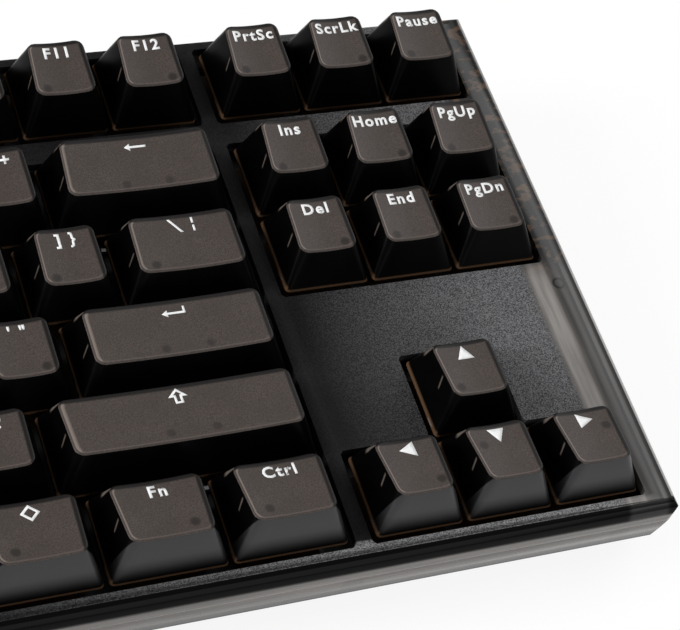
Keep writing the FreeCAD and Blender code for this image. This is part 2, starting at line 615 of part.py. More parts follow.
def corner_cuts(inset):
    """Cutters for the four lower corners of the shell, or of its hollow inset from it."""
    corners = [(x, y, out_x, out_y) for x, out_x in ((X0, -1), (X1, 1)) for y, out_y in ((Y0, -1), (Y1, 1))]
    return Part.makeCompound([corner_cut(*corner, inset) for corner in corners])


def bottom_shell_in_deck():
    """Lower shell with its pillars and the relief for the plug, in the deck frame."""
    outer = shell_block(0, 0).common(rounded_box(X0, X1, Y0, Y1, floor_z(Y1) - 1, SEAM, CASE_CORNER))
    outer = outer.cut(corner_cuts(0))
    hollow = shell_block(WALL, FLOOR).cut(corner_cuts(WALL))
    shell = outer.cut(hollow)
    through_plate, beside = screw_places()
    pillars = [rod(PILLAR_RADIUS, floor_z(y) - 1, -PLATE_THICKNESS, x, y) for x, y in through_plate]
    pillars += [rod(PILLAR_RADIUS, floor_z(y) - 1, 0, x, y) for x, y in beside]
    shell = fused(shell, *[pillar.common(outer) for pillar in pillars])
    bores = []
    for x, y in through_plate + beside:
        bores.append(rod(SCREW_SHANK_RADIUS + SCREW_CLEARANCE, SCREW_SEAT, 0, x, y))
        bores.append(rod(SCREW_HEAD_RADIUS + SCREW_CLEARANCE, floor_z(y) - 2, SCREW_SEAT, x, y))
    relief = box(USB_X - USB_RELIEF_WIDTH / 2, USB_X + USB_RELIEF_WIDTH / 2, Y1 - 2 * WALL, Y1 + 1,
                 USB_Z - USB_RELIEF_HEIGHT / 2, USB_Z + USB_RELIEF_HEIGHT / 2)
    return shell.cut(Part.makeCompound(bores)).cut(relief)


def case_span():
    """Row-frame front and rear of the underside."""
    shift = deck_shift()
    front = Y0 * COSINE - (BEZEL - UNDERCUT_BELOW_BEZEL) * SINE + shift
    rear = Y1 * COSINE - (floor_z(Y1) + REAR_UNDERCUT) * SINE + shift
    return front, rear


def foot_places():
    """Row-frame x of both tilt feet, with y and z of their hinge axis."""
    half = (X1 - X0) / 2
    hinge_y = case_span()[1] - FOOT_HINGE_FROM_REAR
    hinge_z = FOOT_HEIGHT + FOOT_INSET + FOOT_KNUCKLE
    return [-(half - FOOT_SIDE), half - FOOT_SIDE], hinge_y, hinge_z


def pad_places():
    """Row-frame middle of each rubber pad."""
    half = (X1 - X0) / 2 - PAD_SIDE
    front, rear = case_span()
    return [(x, y) for y in (front + PAD_FRONT, rear - PAD_REAR) for x in (-half, half)]


def rubber_pad(x, y):
    pad = block(PAD_WIDTH, PAD_DEPTH, 0, FOOT_HEIGHT + PAD_RECESS, x, y)
    return pad.makeChamfer(PAD_CORNER, upright_edges(pad))


def foot_pocket(x, hinge_y, hinge_z, grown):
    """Space that a stowed tilt foot needs in the underside, grown by a wall where asked."""
    half = FOOT_WIDTH / 2 + POCKET_CLEARANCE + grown
    return box(x - half, x + half, hinge_y - FOOT_LENGTH - POCKET_CLEARANCE - grown,
               hinge_y + FOOT_KNUCKLE + POCKET_HEEL + grown, FOOT_HEIGHT,
               hinge_z + FOOT_KNUCKLE + POCKET_HEEL + grown)


def bottom_case():
    """Lower shell in the row frame, with pockets for the tilt feet and seats for the pads."""
    shell = to_row_frame(bottom_shell_in_deck())
    foot_x, hinge_y, hinge_z = foot_places()
    shell = fused(shell, *[foot_pocket(x, hinge_y, hinge_z, POCKET_WALL) for x in foot_x])
    for x in foot_x:
        shell = shell.cut(foot_pocket(x, hinge_y, hinge_z, 0))
        reach = FOOT_WIDTH / 2 + FOOT_PIN_LENGTH + FOOT_PIN_FIT
        shell = shell.cut(Part.makeCylinder(FOOT_PIN_RADIUS + FOOT_PIN_FIT, 2 * reach,
                                            V(x - reach, hinge_y, hinge_z), V(1, 0, 0)))
    return shell.cut(Part.makeCompound([rubber_pad(x, y) for x, y in pad_places()]))


def tilt_foot(x, hinge_y, hinge_z):
    """Stowed tilt foot: a blade with a round knuckle and a pin at each end."""
    half = FOOT_WIDTH / 2
    blade = box(x - half, x + half, hinge_y - FOOT_LENGTH, hinge_y,
                hinge_z - FOOT_KNUCKLE, hinge_z - FOOT_KNUCKLE + FOOT_BLADE)
    knuckle = Part.makeCylinder(FOOT_KNUCKLE, FOOT_WIDTH, V(x - half, hinge_y, hinge_z), V(1, 0, 0))
    reach = half + FOOT_PIN_LENGTH
    pin = Part.makeCylinder(FOOT_PIN_RADIUS, 2 * reach, V(x - reach, hinge_y, hinge_z), V(1, 0, 0))
    return fused(blade, knuckle, pin)


# ---------------------------------------------------------------- assembly
def key_nodes():
    """Node name to the solids of its keys, in the row frame."""
    made = {}
    nodes = {}
    for name, row, number, x, units in keys_in_layout():
        if (row, units) not in made:
            made[row, units] = key(row, units)
        nodes.setdefault(name, []).append(to_row_frame(moved(made[row, units], x, row_y(number))))
    return nodes


def switch_housings():
    one = switch_housing()
    return [to_row_frame(moved(one, x, row_y(number))) for _, _, number, x, _ in keys_in_layout()]


def stabilisers():
    """Housing solids, and node name to wire, of all stabilised keys."""
    housings = []
    wires = {}
    for name, _, number, x, units in keys_in_layout():
        offset = stabiliser_offset(units)
        if offset is None:
            continue
        y = row_y(number)
        housings.append(to_row_frame(moved(stabiliser_housing(1), x - offset, y)))
        housings.append(to_row_frame(moved(stabiliser_housing(-1), x + offset, y)))
        wires[name.replace("key_", "wire_")] = [to_row_frame(moved(stabiliser_wire(offset), x, y))]
    return housings, wires


def assembly():
    """Node name to its solids."""
    through_plate, beside = screw_places()
    foot_x, hinge_y, hinge_z = foot_places()
    housings, wires = stabilisers()
    nodes = {
        "top_case": [to_row_frame(top_case())],
        "bottom_case": [bottom_case()],
        "switch_plate": [to_row_frame(switch_plate())],
        "circuit_board": [to_row_frame(circuit_board())],
        "switch_housings": switch_housings(),
        "stabiliser_housings": housings,
        "case_screws": [to_row_frame(moved(case_screw(), x, y)) for x, y in through_plate + beside],
        "usb_socket": [to_row_frame(usb_socket())],
        "rubber_feet": [rubber_pad(x, y) for x, y in pad_places()],
        "tilt_foot_left": [tilt_foot(foot_x[0], hinge_y, hinge_z)],
        "tilt_foot_right": [tilt_foot(foot_x[1], hinge_y, hinge_z)],
    }
    nodes.update(wires)
    nodes.update(key_nodes())
    return nodes


def main():
    os.makedirs("parts", exist_ok=True)
    for name, solids in assembly().items():
        shape = solids[0] if len(solids) == 1 else Part.makeCompound(solids)
        shape.exportStep("parts/" + name + ".step")


main()
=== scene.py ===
"""Looks of the mechanical keyboard: keycaps with their legends, finishes of every part, and the stage.

Laid out as a Blender add-on and run as a script. Lengths here are in millimetres in the deck frame
(x = 0 at the left edge of the key grid, y = 0 on the axis of the bottom key row, z = 0 on the switch
plate), and to_row() leans them to their place in metres.
"""

import bmesh
import bpy
import math
import numpy as np
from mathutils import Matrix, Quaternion, Vector


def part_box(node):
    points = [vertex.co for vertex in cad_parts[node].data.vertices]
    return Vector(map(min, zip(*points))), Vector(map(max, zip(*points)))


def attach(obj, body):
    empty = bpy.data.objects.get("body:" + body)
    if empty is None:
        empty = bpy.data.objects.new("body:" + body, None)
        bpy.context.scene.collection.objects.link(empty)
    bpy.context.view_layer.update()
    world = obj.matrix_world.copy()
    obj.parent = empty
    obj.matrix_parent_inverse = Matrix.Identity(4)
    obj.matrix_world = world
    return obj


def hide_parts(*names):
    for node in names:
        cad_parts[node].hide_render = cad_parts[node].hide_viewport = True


bl_info = {
    "name": "Mechanical keyboard looks",
    "version": (1, 0, 0),
    "blender": (4, 5, 0),
    "location": "View3D > Sidebar > Keyboard",
    "description": "Keycaps, legends, finishes and studio for the mechanical keyboard",
    "category": "Object",
}

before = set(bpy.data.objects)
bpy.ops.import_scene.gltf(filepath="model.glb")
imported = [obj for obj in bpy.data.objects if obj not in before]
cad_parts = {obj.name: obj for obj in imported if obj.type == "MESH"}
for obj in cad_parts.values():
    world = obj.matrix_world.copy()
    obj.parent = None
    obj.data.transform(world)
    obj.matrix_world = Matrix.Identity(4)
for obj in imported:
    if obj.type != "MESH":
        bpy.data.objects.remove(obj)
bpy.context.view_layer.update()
MM = 0.001

# ---------------------------------------------------------------- deck frame
TYPING_ANGLE = math.radians(4.5)
PLATE_EDGE = 1.3
PLATE_FRONT = -8.3
PLATE_THICKNESS = 1.5
SINE, COSINE = math.sin(TYPING_ANGLE), math.cos(TYPING_ANGLE)
PLATE_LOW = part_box("switch_plate")[0]
DECK_ORIGIN = (
    PLATE_LOW[0] - PLATE_EDGE * MM,
    PLATE_LOW[1] - PLATE_FRONT * COSINE * MM,
    PLATE_LOW[2] - (PLATE_FRONT * SINE - PLATE_THICKNESS * COSINE) * MM,
)

# ---------------------------------------------------------------- key grid and keycap sizes
PITCH = 19.05
FUNCTION_ROW_Y = 5 * PITCH + 6.97
GRID_WIDTH = 18.25 * PITCH
BEZEL = 6.75
FRONT_TURN = 10.2           # where the front wall turns under, below the bezel
SHELL_POST = (2.2, 41.1)    # post seen through the shell, out from the key grid and along it
RIM_START, RIM_END = -6.0, 8.0      # clear rim of the shell, out from the key grid
DARK_STRETCH = (0.36, 0.638)        # part of the long walls with something dark behind, of the grid's width
WALL_LIGHT = 0.64           # share of light that passes the long walls elsewhere
FAR = 300.0                 # farther off than any part of the keyboard: no limit on that side
KEYCAP_GAP = 0.9
SKIRT = 6.25                # lower edge of a released keycap above the plate
SIDE_INSET = 3.06           # top edge inside the skirt, left and right
WALL = 1.2
ROOF = 1.4
HOUSING_TOP = 6.6
SLIDER_BOTTOM = 0.5
POST = 5.4
SLIDER = (6.6, 5.7)
STABILISER_SLIDER = (4.2, 5.7)
FLOOR_GLOW = 0.88           # share of the floor that is plain white to the camera, the rest is lit
WORLD_STRENGTH = 0.45
# Height, tilt in degrees, shift to the back and depth of the top face of each sculpted row.
ROW_TOPS = {
    "function": (10.20, 7.9, 1.22, 12.4),
    "number": (10.10, 8.1, 1.43, 12.5),
    "upper": (8.20, 3.3, 1.35, 12.7),
    "home": (7.65, 0.4, 1.20, 12.6),
    "lower": (8.50, -5.5, 0.95, 12.9),
    "bottom": (8.70, -8.7, 0.65, 13.2),
}
# Rows from the typist to the back: row name, then each node with its keys as (units, legend).
KEY_ROWS = (
    ("bottom", (
        ("keys_ctrl_to_alt_left", (1.25, "Ctrl"), (1.25, "DIAMOND"), (1.25, "Alt")),
        ("key_space", (6.25, "")),
        ("key_alt_right", (1.25, "Alt")),
        ("key_super_right", (1.25, "DIAMOND")),
        ("key_fn", (1.25, "Fn")),
        ("key_ctrl_right", (1.25, "Ctrl")),
        (None, (0.25, "")),
        ("key_arrow_left", (1, "LEFT")),
        ("key_arrow_down", (1, "DOWN")),
        ("key_arrow_right", (1, "RIGHT")))),
    ("lower", (
        ("key_shift_left", (2.25, "SHIFT")),
        ("keys_z_to_b", (1, "Z"), (1, "X"), (1, "C"), (1, "V"), (1, "B")),
        ("keys_n_to_period", (1, "N"), (1, "M"), (1, ", <"), (1, ". >")),
        ("key_slash", (1, "/ ?")),
        ("key_shift_right", (2.75, "SHIFT")),
        (None, (1.25, "")),
        ("key_arrow_up", (1, "UP")))),
    ("home", (
        ("keys_caps_to_g", (1.75, "Caps"), (1, "A"), (1, "S"), (1, "D"), (1, "F"), (1, "G")),
        ("keys_h_to_semicolon", (1, "H"), (1, "J"), (1, "K"), (1, "L"), (1, "; :")),
        ("key_quote", (1, "' \"")),
        ("key_enter", (2.25, "RETURN")))),
    ("upper", (
        ("keys_tab_to_t", (1.5, "Tab"), (1, "Q"), (1, "W"), (1, "E"), (1, "R"), (1, "T")),
        ("keys_y_to_p", (1, "Y"), (1, "U"), (1, "I"), (1, "O"), (1, "P")),
        ("key_bracket_left", (1, "[ {")),
        ("key_bracket_right", (1, "] }")),
        ("key_backslash", (1.5, "BACKSLASH")),
        (None, (0.25, "")),
        ("key_delete", (1, "Del")),
        ("key_end", (1, "End")),
        ("key_page_down", (1, "PgDn")))),
    ("number", (
        ("keys_grave_to_5", (1, "` ~"), (1, "1 !"), (1, "2 @"), (1, "3 #"), (1, "4 $"), (1, "5 %")),
        ("keys_6_to_minus", (1, "6 ^"), (1, "7 &"), (1, "8 *"), (1, "9 ("), (1, "0 )"), (1, "- _")),
        ("key_equals", (1, "= +")),
        ("key_backspace", (2, "BACK")),
        (None, (0.25, "")),
        ("key_insert", (1, "Ins")),
        ("key_home", (1, "Home")),
        ("key_page_up", (1, "PgUp")))),
    ("function", (
        ("key_escape", (1, "Esc")),
        (None, (1, "")),
        ("keys_f1_to_f4", (1, "F1"), (1, "F2"), (1, "F3"), (1, "F4")),
        (None, (0.5, "")),
        ("keys_f5_to_f8", (1, "F5"), (1, "F6"), (1, "F7"), (1, "F8")),
        (None, (0.5, "")),
        ("key_f9", (1, "F9")),
        ("key_f10", (1, "F10")),
        ("key_f11", (1, "F11")),
        ("key_f12", (1, "F12")),
        (None, (0.25, "")),
        ("key_print_screen", (1, "PrtSc")),
        ("key_scroll_lock", (1, "ScrLk")),
        ("key_pause", (1, "Pause")))),
)
LEGEND_DROP = 2.75          # middle of a legend in front of the rear edge of its cap's top
SYMBOL_SIZE = 1.12          # symbols beside letters
# Symbols as closed outlines on a square from -1 to 1; an outline inside another one is a hole.
SYMBOLS = {
    "UP": [[(-0.9, -0.75), (0.9, -0.75), (0.0, 0.9)]],
    "DOWN": [[(0.9, 0.75), (-0.9, 0.75), (0.0, -0.9)]],
    "LEFT": [[(0.75, 0.9), (-0.9, 0.0), (0.75, -0.9)]],
    "RIGHT": [[(-0.75, -0.9), (0.9, 0.0), (-0.75, 0.9)]],
    "DIAMOND": [[(0, -0.95), (0.95, 0), (0, 0.95), (-0.95, 0)],
                [(0, -0.58), (-0.58, 0), (0, 0.58), (0.58, 0)]],
    "SHIFT": [[(-0.42, -0.85), (0.42, -0.85), (0.42, -0.05), (0.98, -0.05), (0, 0.95), (-0.98, -0.05),
               (-0.42, -0.05)],
              [(-0.18, -0.62), (-0.18, 0.18), (-0.42, 0.18), (0, 0.6), (0.42, 0.18), (0.18, 0.18),
               (0.18, -0.62)]],
    "BACKSLASH": [[(-1.4, 0.85), (-1.1, 0.85), (0.05, -0.75), (-0.25, -0.75)],
                  [(1.1, 0.85), (1.33, 0.85), (1.33, 0.2), (1.1, 0.2)],
                  [(1.1, -0.05), (1.33, -0.05), (1.33, -0.75), (1.1, -0.75)]],
    "BACK": [[(-1.15, 0), (-0.55, 0.42), (-0.55, 0.12), (1.15, 0.12), (1.15, -0.12), (-0.55, -0.12),
              (-0.55, -0.42)]],
    "RETURN": [[(-1.25, -0.2), (-0.65, 0.22), (-0.65, -0.08), (0.98, -0.08), (0.98, 0.5), (1.2, 0.5),
                (1.2, -0.32), (-0.65, -0.32), (-0.65, -0.62)]],
}


def hex_to_linear(code, alpha=1.0):
    """Scene-linear colour of an sRGB hex code."""
    channels = [int(code[i:i + 2], 16) / 255 for i in (1, 3, 5)]
    return tuple(c / 12.92 if c <= 0.04045 else ((c + 0.055) / 1.055) ** 2.4 for c in channels) + (alpha,)


# ---------------------------------------------------------------- settings
class KeycapSettings(bpy.types.PropertyGroup):
    """Sizes of the keycaps and their legends."""

    edge_radius: bpy.props.FloatProperty(
        name="Edge radius", description="Rounding between a keycap's top and its sides, in millimetres",
        default=0.6, min=0.1, max=1.5)
    corner_radius: bpy.props.FloatProperty(
        name="Corner radius", description="Rounding of the corners in plan, in millimetres",
        default=1.75, min=0.8, max=3.0)
    dish: bpy.props.FloatProperty(
        name="Dish", description="Depth of the finger dish, in millimetres",
        default=0.6, min=0.0, max=1.0)
    crown: bpy.props.FloatProperty(
        name="Space bar crown", description="Rise of the space bar's top, in millimetres",
        default=0.9, min=0.0, max=1.5)
    legend_height: bpy.props.FloatProperty(
        name="Legend size", description="Size of the lettering, in millimetres",
        default=3.5, min=1.5, max=5.0)
    legend_relief: bpy.props.FloatProperty(
        name="Legend relief", description="How far the print stands over the plastic, in millimetres",
        default=0.03, min=0.01, max=0.1)


def colour(name, description, code):
    """Colour property with that hex code as its default."""
    return bpy.props.FloatVectorProperty(name=name, description=description, subtype="COLOR", size=4,
                                         min=0.0, max=1.0, default=hex_to_linear(code))


class FinishSettings(bpy.types.PropertyGroup):
    """Colours of the finishes."""

    cap_top: colour("Keycap top", "Satin top of a smoked keycap", "#463E3A")
    cap_glow: colour("Keycap edge, lit", "Lit line round the near edges of a keycap's top", "#8F837B")
    cap_side: colour("Keycap side", "Polished side of a smoked keycap", "#050404")
    # Painted light on the fronts of the keys nearest the typist.
    cap_front_lit: colour("Keycap front", "Front of the keys nearest the typist", "#262628")
    # Amber of light passing through thin smoked plastic, laid on as painted light on the skirts and the
    # shell's rim.
    cap_rim: colour("Keycap rim", "Thin skirt edge, where light passes", "#6E543F")
    legend: colour("Legend", "Print on the keycaps", "#EDEEEE")
    bezel: colour("Bezel", "Grained black field over the plate", "#1D1D1F")
    # Painted sheen on the grained field beside the navigation keys.
    bezel_lit: colour("Bezel, lit", "The same field beside the navigation keys", "#707072")
    # Painted light that passes the smoked shells.
    smoke_light: colour("Smoked case, lit", "Smoked case where light passes", "#8E8985")
    # Dark tone of the smoked shells, also laid on as painted shade.
    smoke_dark: colour("Smoked case, dark", "Smoked case over dark parts", "#0B0A0A")
    floor: colour("Floor", "Plain floor of the studio", "#FFFFFF")


# ---------------------------------------------------------------- geometry
def to_row(points):
    """Deck points in millimetres to the row frame in metres: turned by the typing angle, then shifted."""
    x, y, z = np.asarray(points, float).T * MM
    return np.stack((x + DECK_ORIGIN[0], y * COSINE - z * SINE + DECK_ORIGIN[1],
                     y * SINE + z * COSINE + DECK_ORIGIN[2]), axis=1)


class Shape:
    """Points with faces of any size, gathered before they become one mesh."""

    def __init__(self):
        self.points, self.loops, self.totals, self.slots, self.local = [], [], [], [], []
        self.count = 0

    def add(self, points, loops, totals, slot, local):
        self.points.append(points)
        self.loops.append(np.asarray(loops, int).ravel() + self.count)
        self.totals.append(np.asarray(totals, int))
        self.slots.append(np.broadcast_to(slot, len(totals)))
        self.local.append(np.stack(local))
        self.count += len(points)

    def to_object(self, name, materials):
        """One mesh object in the row frame, with the place of each point on its own key.

        cap_place holds x and y from the key's axis and z from its skirt. cap_far holds how far a point
        lies inside the right and rear edges and inside the outline, cap_near how far it lies inside the
        left and front edges and under the top, and cap_marks the places of the round darker spots on its
        top.
        """
        points = to_row(np.concatenate(self.points))
        loops, totals = np.concatenate(self.loops), np.concatenate(self.totals)
        mesh = bpy.data.meshes.new(name)
        mesh.vertices.add(len(points))
        mesh.vertices.foreach_set("co", points.astype(np.float32).ravel())
        mesh.loops.add(len(loops))
        mesh.loops.foreach_set("vertex_index", loops.astype(np.int32))
        mesh.polygons.add(len(totals))
        mesh.polygons.foreach_set("loop_start", (np.cumsum(totals) - totals).astype(np.int32))
        mesh.polygons.foreach_set("material_index", np.concatenate(self.slots).astype(np.int32))
        mesh.polygons.foreach_set("use_smooth", np.full(len(totals), True))
        local = np.concatenate(self.local, axis=1).astype(np.float32)
        for attribute, values in zip(("cap_place", "cap_far", "cap_near", "cap_marks"), local):
            kept = mesh.attributes.new(attribute, "FLOAT_VECTOR", "POINT")
            kept.data.foreach_set("vector", np.ascontiguousarray(values).ravel())
        for material in materials:
            mesh.materials.append(material)
        mesh.update(calc_edges=True)
        mesh.validate()
        made = bpy.data.objects.new(name, mesh)
        bpy.context.scene.collection.objects.link(made)
        return made


class Outline:
    """Rounded rectangle walked anticlockwise: arcs at the corners and evenly divided straight sides.

    Every point is a mix of two arc points; a point of an arc mixes that point with itself.
    """

    def __init__(self, corner_steps, steps_along_x, steps_along_y):
        first, second, share = [], [], []
        for quarter, steps in enumerate((steps_along_x, steps_along_y, steps_along_x, steps_along_y)):
            arc = np.linspace(quarter, quarter + 1, corner_steps + 1)
            straight = np.arange(1, steps) / steps
            first += [(quarter, a) for a in arc] + [(quarter, quarter + 1)] * len(straight)
            mate = (quarter + 1) % 4
            second += [(quarter, a) for a in arc] + [(mate, quarter + 1)] * len(straight)
            share += [0.0] * len(arc) + list(straight)
        self.first, self.second, self.share = np.array(first), np.array(second), np.array(share)[:, None]

    def walk(self, half, front, back, radius):
        """x, y of the rectangle from -half to half and from front to back, with corners of that radius."""
        ends = []
        for corner, turn in (self.first.T, self.second.T):
            right, rear = np.isin(corner, (0, 3)), corner < 2
            x = np.where(right, half - radius, radius - half) + radius * np.cos(turn * np.pi / 2)
            y = np.where(rear, back - radius, front + radius) + radius * np.sin(turn * np.pi / 2)
            ends.append(np.stack((x, y), axis=1))
        return ends[0] * (1 - self.share) + ends[1] * self.share


def stack_rings(rings):
    """Faces of rings of equal length stacked in order, closed by a fan at each end.

    The points are the first end, the rings in order and the last end. The rings run anticlockwise
    seen from above, and the faces look outwards.
    """
    count, size = len(rings), len(rings[0])
    here = 1 + np.arange(size)
    after = 1 + (np.arange(size) + 1) % size
    level = np.arange(count - 1)[:, None] * size
    quads = np.stack((level + here, level + after, level + size + after, level + size + here), axis=-1)
    last = 1 + count * size
    top = (count - 1) * size
    fan_start = np.stack((np.zeros(size, int), after, here), axis=-1)
    fan_end = np.stack((top + here, top + after, np.full(size, last)), axis=-1)
    loops = np.concatenate((quads.ravel(), fan_start.ravel(), fan_end.ravel()))
    totals = np.concatenate((np.full(quads.size // 4, 4), np.full(2 * size, 3)))
    return loops, totals, size


class CapForm:
    """Form of the keycap of one row and width, in millimetres over its own axis, z = 0 on the skirt."""

    def __init__(self, row, units, settings):
        self.height, tilt, self.shift, depth = ROW_TOPS[row]
        self.slope = math.tan(math.radians(tilt))
        self.reach = depth / 2 * math.cos(math.radians(tilt))
        self.half = (units * PITCH - KEYCAP_GAP) / 2
        self.deep = (PITCH - KEYCAP_GAP) / 2
        self.lean = SIDE_INSET / self.height
        self.units = units
        self.settings = settings
        self.half_top = self.half - self.lean * (self.height - abs(self.slope) * self.reach)

    def plane(self, y):
        """Height of the flat top that the dish is cut from."""
        return self.height + (y - self.shift) * self.slope

    def top(self, x, y):
        """Height of the top: the flat top, less a parabolic dish across, or plus a crown along."""
        if self.units > 3:
            away = np.clip(np.abs(y - self.shift) / self.reach, 0, 1)
            return self.plane(y) + self.settings.crown * (1 - away ** 2)
        away = np.clip(np.abs(x) / self.half_top, 0, 1)
        return self.plane(y) - self.settings.dish * (1 - away ** 2)

    def ring_at_top(self, outline, inset, drop):
        """Ring inside the sharp top edge by inset and below the top surface by drop."""
        radius = max(self.settings.corner_radius - 0.6 * inset, 0.5)
        half = self.half - self.lean * self.height
        xy = outline.walk(half - inset, self.shift - self.reach + inset, self.shift + self.reach - inset,
                          radius)
        x, y = xy.T
        x = x * (self.half - self.lean * self.plane(y) - inset) / (half - inset)
        return np.stack((x, y, self.top(x, y) - drop), axis=1)

    def rings(self):
        """Rings from the hollow's roof, down its walls, round the skirt, up the sides and over the edge.

        The rounded edge is a circle that touches the leaning side and the top: at an angle f above the
        horizontal it lies R / tan(45 + lean / 2) - R cos f inside the sharp edge and R (1 - sin f) under
        the top.
        """
        wide = 8 if self.units < 2 else 18
        outline = Outline(4, wide if self.units < 4 else 30, 6)
        radius = self.settings.edge_radius
        lean = math.atan(self.lean)
        centre = radius / math.tan(math.pi / 4 + lean / 2)
        low_edge = self.height - abs(self.slope) * self.reach
        roof = low_edge - self.settings.dish - ROOF
        front = -self.deep + WALL + (self.deep + self.shift - self.reach) / low_edge * roof
        back = self.deep - WALL - (self.deep - self.shift - self.reach) / low_edge * roof
        level = np.zeros((len(outline.share), 1))
        roof_ring = np.hstack((outline.walk(self.half - WALL - self.lean * roof, front, back, 0.6),
                               level + roof))
        inner = np.hstack((outline.walk(self.half - WALL, -self.deep + WALL, self.deep - WALL, 0.6), level))
        outer = np.hstack((outline.walk(self.half, -self.deep, self.deep, 1.0), level))
        insets = [centre - radius * math.cos(a) for a in np.linspace(lean, math.pi / 2, 5)]
        edge = [self.ring_at_top(outline, inset, radius - math.sqrt(radius ** 2 - (centre - inset) ** 2))
                for inset in insets]
        side = [outer + (edge[0] - outer) * share for share in (0.07, 0.35, 0.65)]
        inside = []
        for share in (0.93, 0.86, 0.64, 0.4, 0.16):
            ring = edge[-1].copy()
            ring[:, 0] *= share
            ring[:, 1] = self.shift + (ring[:, 1] - self.shift) * share
            ring[:, 2] = self.top(ring[:, 0], ring[:, 1])
            inside.append(ring)
            insets.append(centre + (1 - share) * self.reach)
        return [roof_ring, inner, outer, *side, *edge, *inside], roof, [0.0] * 6 + insets

    def shell(self):
        """Points, faces, slots and insets of the hollow cap: slot 1 is the side, slot 0 the top."""
        rings, roof, insets = self.rings()
        loops, totals, size = stack_rings(rings)
        ends = ([(0, self.shift, roof)], [(0, self.shift, float(self.top(0, self.shift)))])
        points = np.concatenate((ends[0], *rings, ends[1]))
        inset = np.concatenate(([0.0], np.repeat(insets, size), [self.reach]))
        slots = np.ones(len(totals), int)
        slots[7 * size:(len(rings) - 1) * size] = 0
        slots[-size:] = 0
        return points, loops, totals, slots, inset

    def stem(self, x, post, slider):
        """Square post under the roof and the slider that it is pressed on, as one stack of rings."""
        roof = self.rings()[1]
        outline = Outline(1, 1, 1)

        def square(size, z):
            flat = outline.walk(size[0] / 2, -size[1] / 2, size[1] / 2, 0.3) + (x, 0)
            return np.hstack((flat, np.full((len(flat), 1), z)))

        low, middle = SLIDER_BOTTOM - SKIRT, HOUSING_TOP - SKIRT
        rings = [square(slider, low), square(slider, middle), square(post, middle), square(post, roof + 0.3)]
        loops, totals, _ = stack_rings(rings)
        points = np.concatenate(([(x, 0, low)], *rings, [(x, 0, roof + 0.3)]))
        return points, loops, totals


def glyph(text, size, relief):
    """Lettering or a symbol in its own plane, as points, faces and the number of corners of each face."""
    if text in SYMBOLS:
        curve = bpy.data.curves.new("glyph", "CURVE")
        curve.dimensions, curve.fill_mode = "2D", "BOTH"
        for outline in SYMBOLS[text]:
            spline = curve.splines.new("POLY")
            spline.points.add(len(outline) - 1)
            flat = np.array([(x * size * 0.5, y * size * 0.5, 0, 1) for x, y in outline])
            spline.points.foreach_set("co", flat.ravel())
            spline.use_cyclic_u = True
    else:
        curve = bpy.data.curves.new("glyph", "FONT")
        curve.body = text
        curve.size = size
        curve.offset = 0.03 * size
        curve.space_character = 1.2
        curve.align_x, curve.align_y = "CENTER", "CENTER"
        curve.resolution_u = 3
    curve.extrude = relief
    holder = bpy.data.objects.new("glyph", curve)
    bpy.context.scene.collection.objects.link(holder)
    bpy.context.view_layer.update()
    mesh = bpy.data.meshes.new_from_object(holder)
    bpy.data.objects.remove(holder)
    work = bmesh.new()
    work.from_mesh(mesh)
    bmesh.ops.remove_doubles(work, verts=work.verts, dist=1e-4)
    bmesh.ops.triangulate(work, faces=work.faces)
    for _ in range(3):
        long = [e for e in work.edges if e.calc_length() > 1.1]
        bmesh.ops.subdivide_edges(work, edges=long, cuts=1)
        bmesh.ops.triangulate(work, faces=[f for f in work.faces if len(f.verts) > 3])
    bmesh.ops.recalc_face_normals(work, faces=work.faces)
    work.to_mesh(mesh)
    work.free()
    points = np.zeros(len(mesh.vertices) * 3)
    mesh.vertices.foreach_get("co", points)
    loops = np.zeros(len(mesh.loops), int)
    mesh.loops.foreach_get("vertex_index", loops)
    bpy.data.meshes.remove(mesh)
    return points.reshape(-1, 3), loops, np.full(len(loops) // 3, 3)


def keys_in_layout():
    """Node to its keys as (row, deck x, deck y, units, legend, place in the row from its right end)."""
    nodes = {}
    for number, (row, groups) in enumerate(KEY_ROWS):
        left = 0.0
        y = FUNCTION_ROW_Y if row == "function" else number * PITCH
        place = sum(len(keys) for node, *keys in groups if node)
        for node, *keys in groups:
            for units, legend in keys:
                if node:
                    place -= 1
                    x = (left + units / 2) * PITCH
                    nodes.setdefault(node, []).append((row, x, y, units, legend, place))
                left += units
    return nodes


def dark_spot_places(row, units, legend, place):
    """Where the round darker spots on a keycap's top lie: x of the first, y of both, x of the second.

    Wide caps have two. The narrow ones have one, which changes sides from key to key, and two of the
    arrow keys have theirs nearer the rear edge.
    """
    if units >= 2:
        return -3.7, -3.4, 5.3
    side = 1 if (place + (row in ("function", "number", "lower"))) % 2 == 0 else -1
    if legend[:1] in ("]", "'"):
        side = -side
    x, y = side * (3.8 if units < 1.2 else 4.7 if units < 1.4 else 7.5), -3.5
    if legend in ("DOWN", "RIGHT"):
        y = 2.4
    return x, y, x


def stabiliser_offset(units):
    """Distance in millimetres from a wide key's axis to each of its stabiliser stems."""
    return 50.0 if units > 3 else 11.94


def cleaned_copy(node, name, bevel):
    """A CAD node's mesh with its doubles merged and flat triangles joined, its edges eased by a bevel.

    Merging is within 2 micrometres, and edges that turn less than 25 degrees stay as they are.
    """
    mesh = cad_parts[node].data.copy()
    work = bmesh.new()
    work.from_mesh(mesh)
    bmesh.ops.remove_doubles(work, verts=work.verts, dist=2e-6)
    bmesh.ops.dissolve_limit(work, angle_limit=math.radians(0.5), verts=work.verts, edges=work.edges)
    work.to_mesh(mesh)
    work.free()
    made = bpy.data.objects.new(name, mesh)
    bpy.context.scene.collection.objects.link(made)
    mesh.polygons.foreach_set("use_smooth", np.full(len(mesh.polygons), True))
    ease = made.modifiers.new("eased edges", "BEVEL")
    ease.width, ease.segments = bevel * MM, 2
    ease.limit_method, ease.angle_limit = "ANGLE", math.radians(25)
    ease.harden_normals = True
    mesh.materials.clear()
    return made


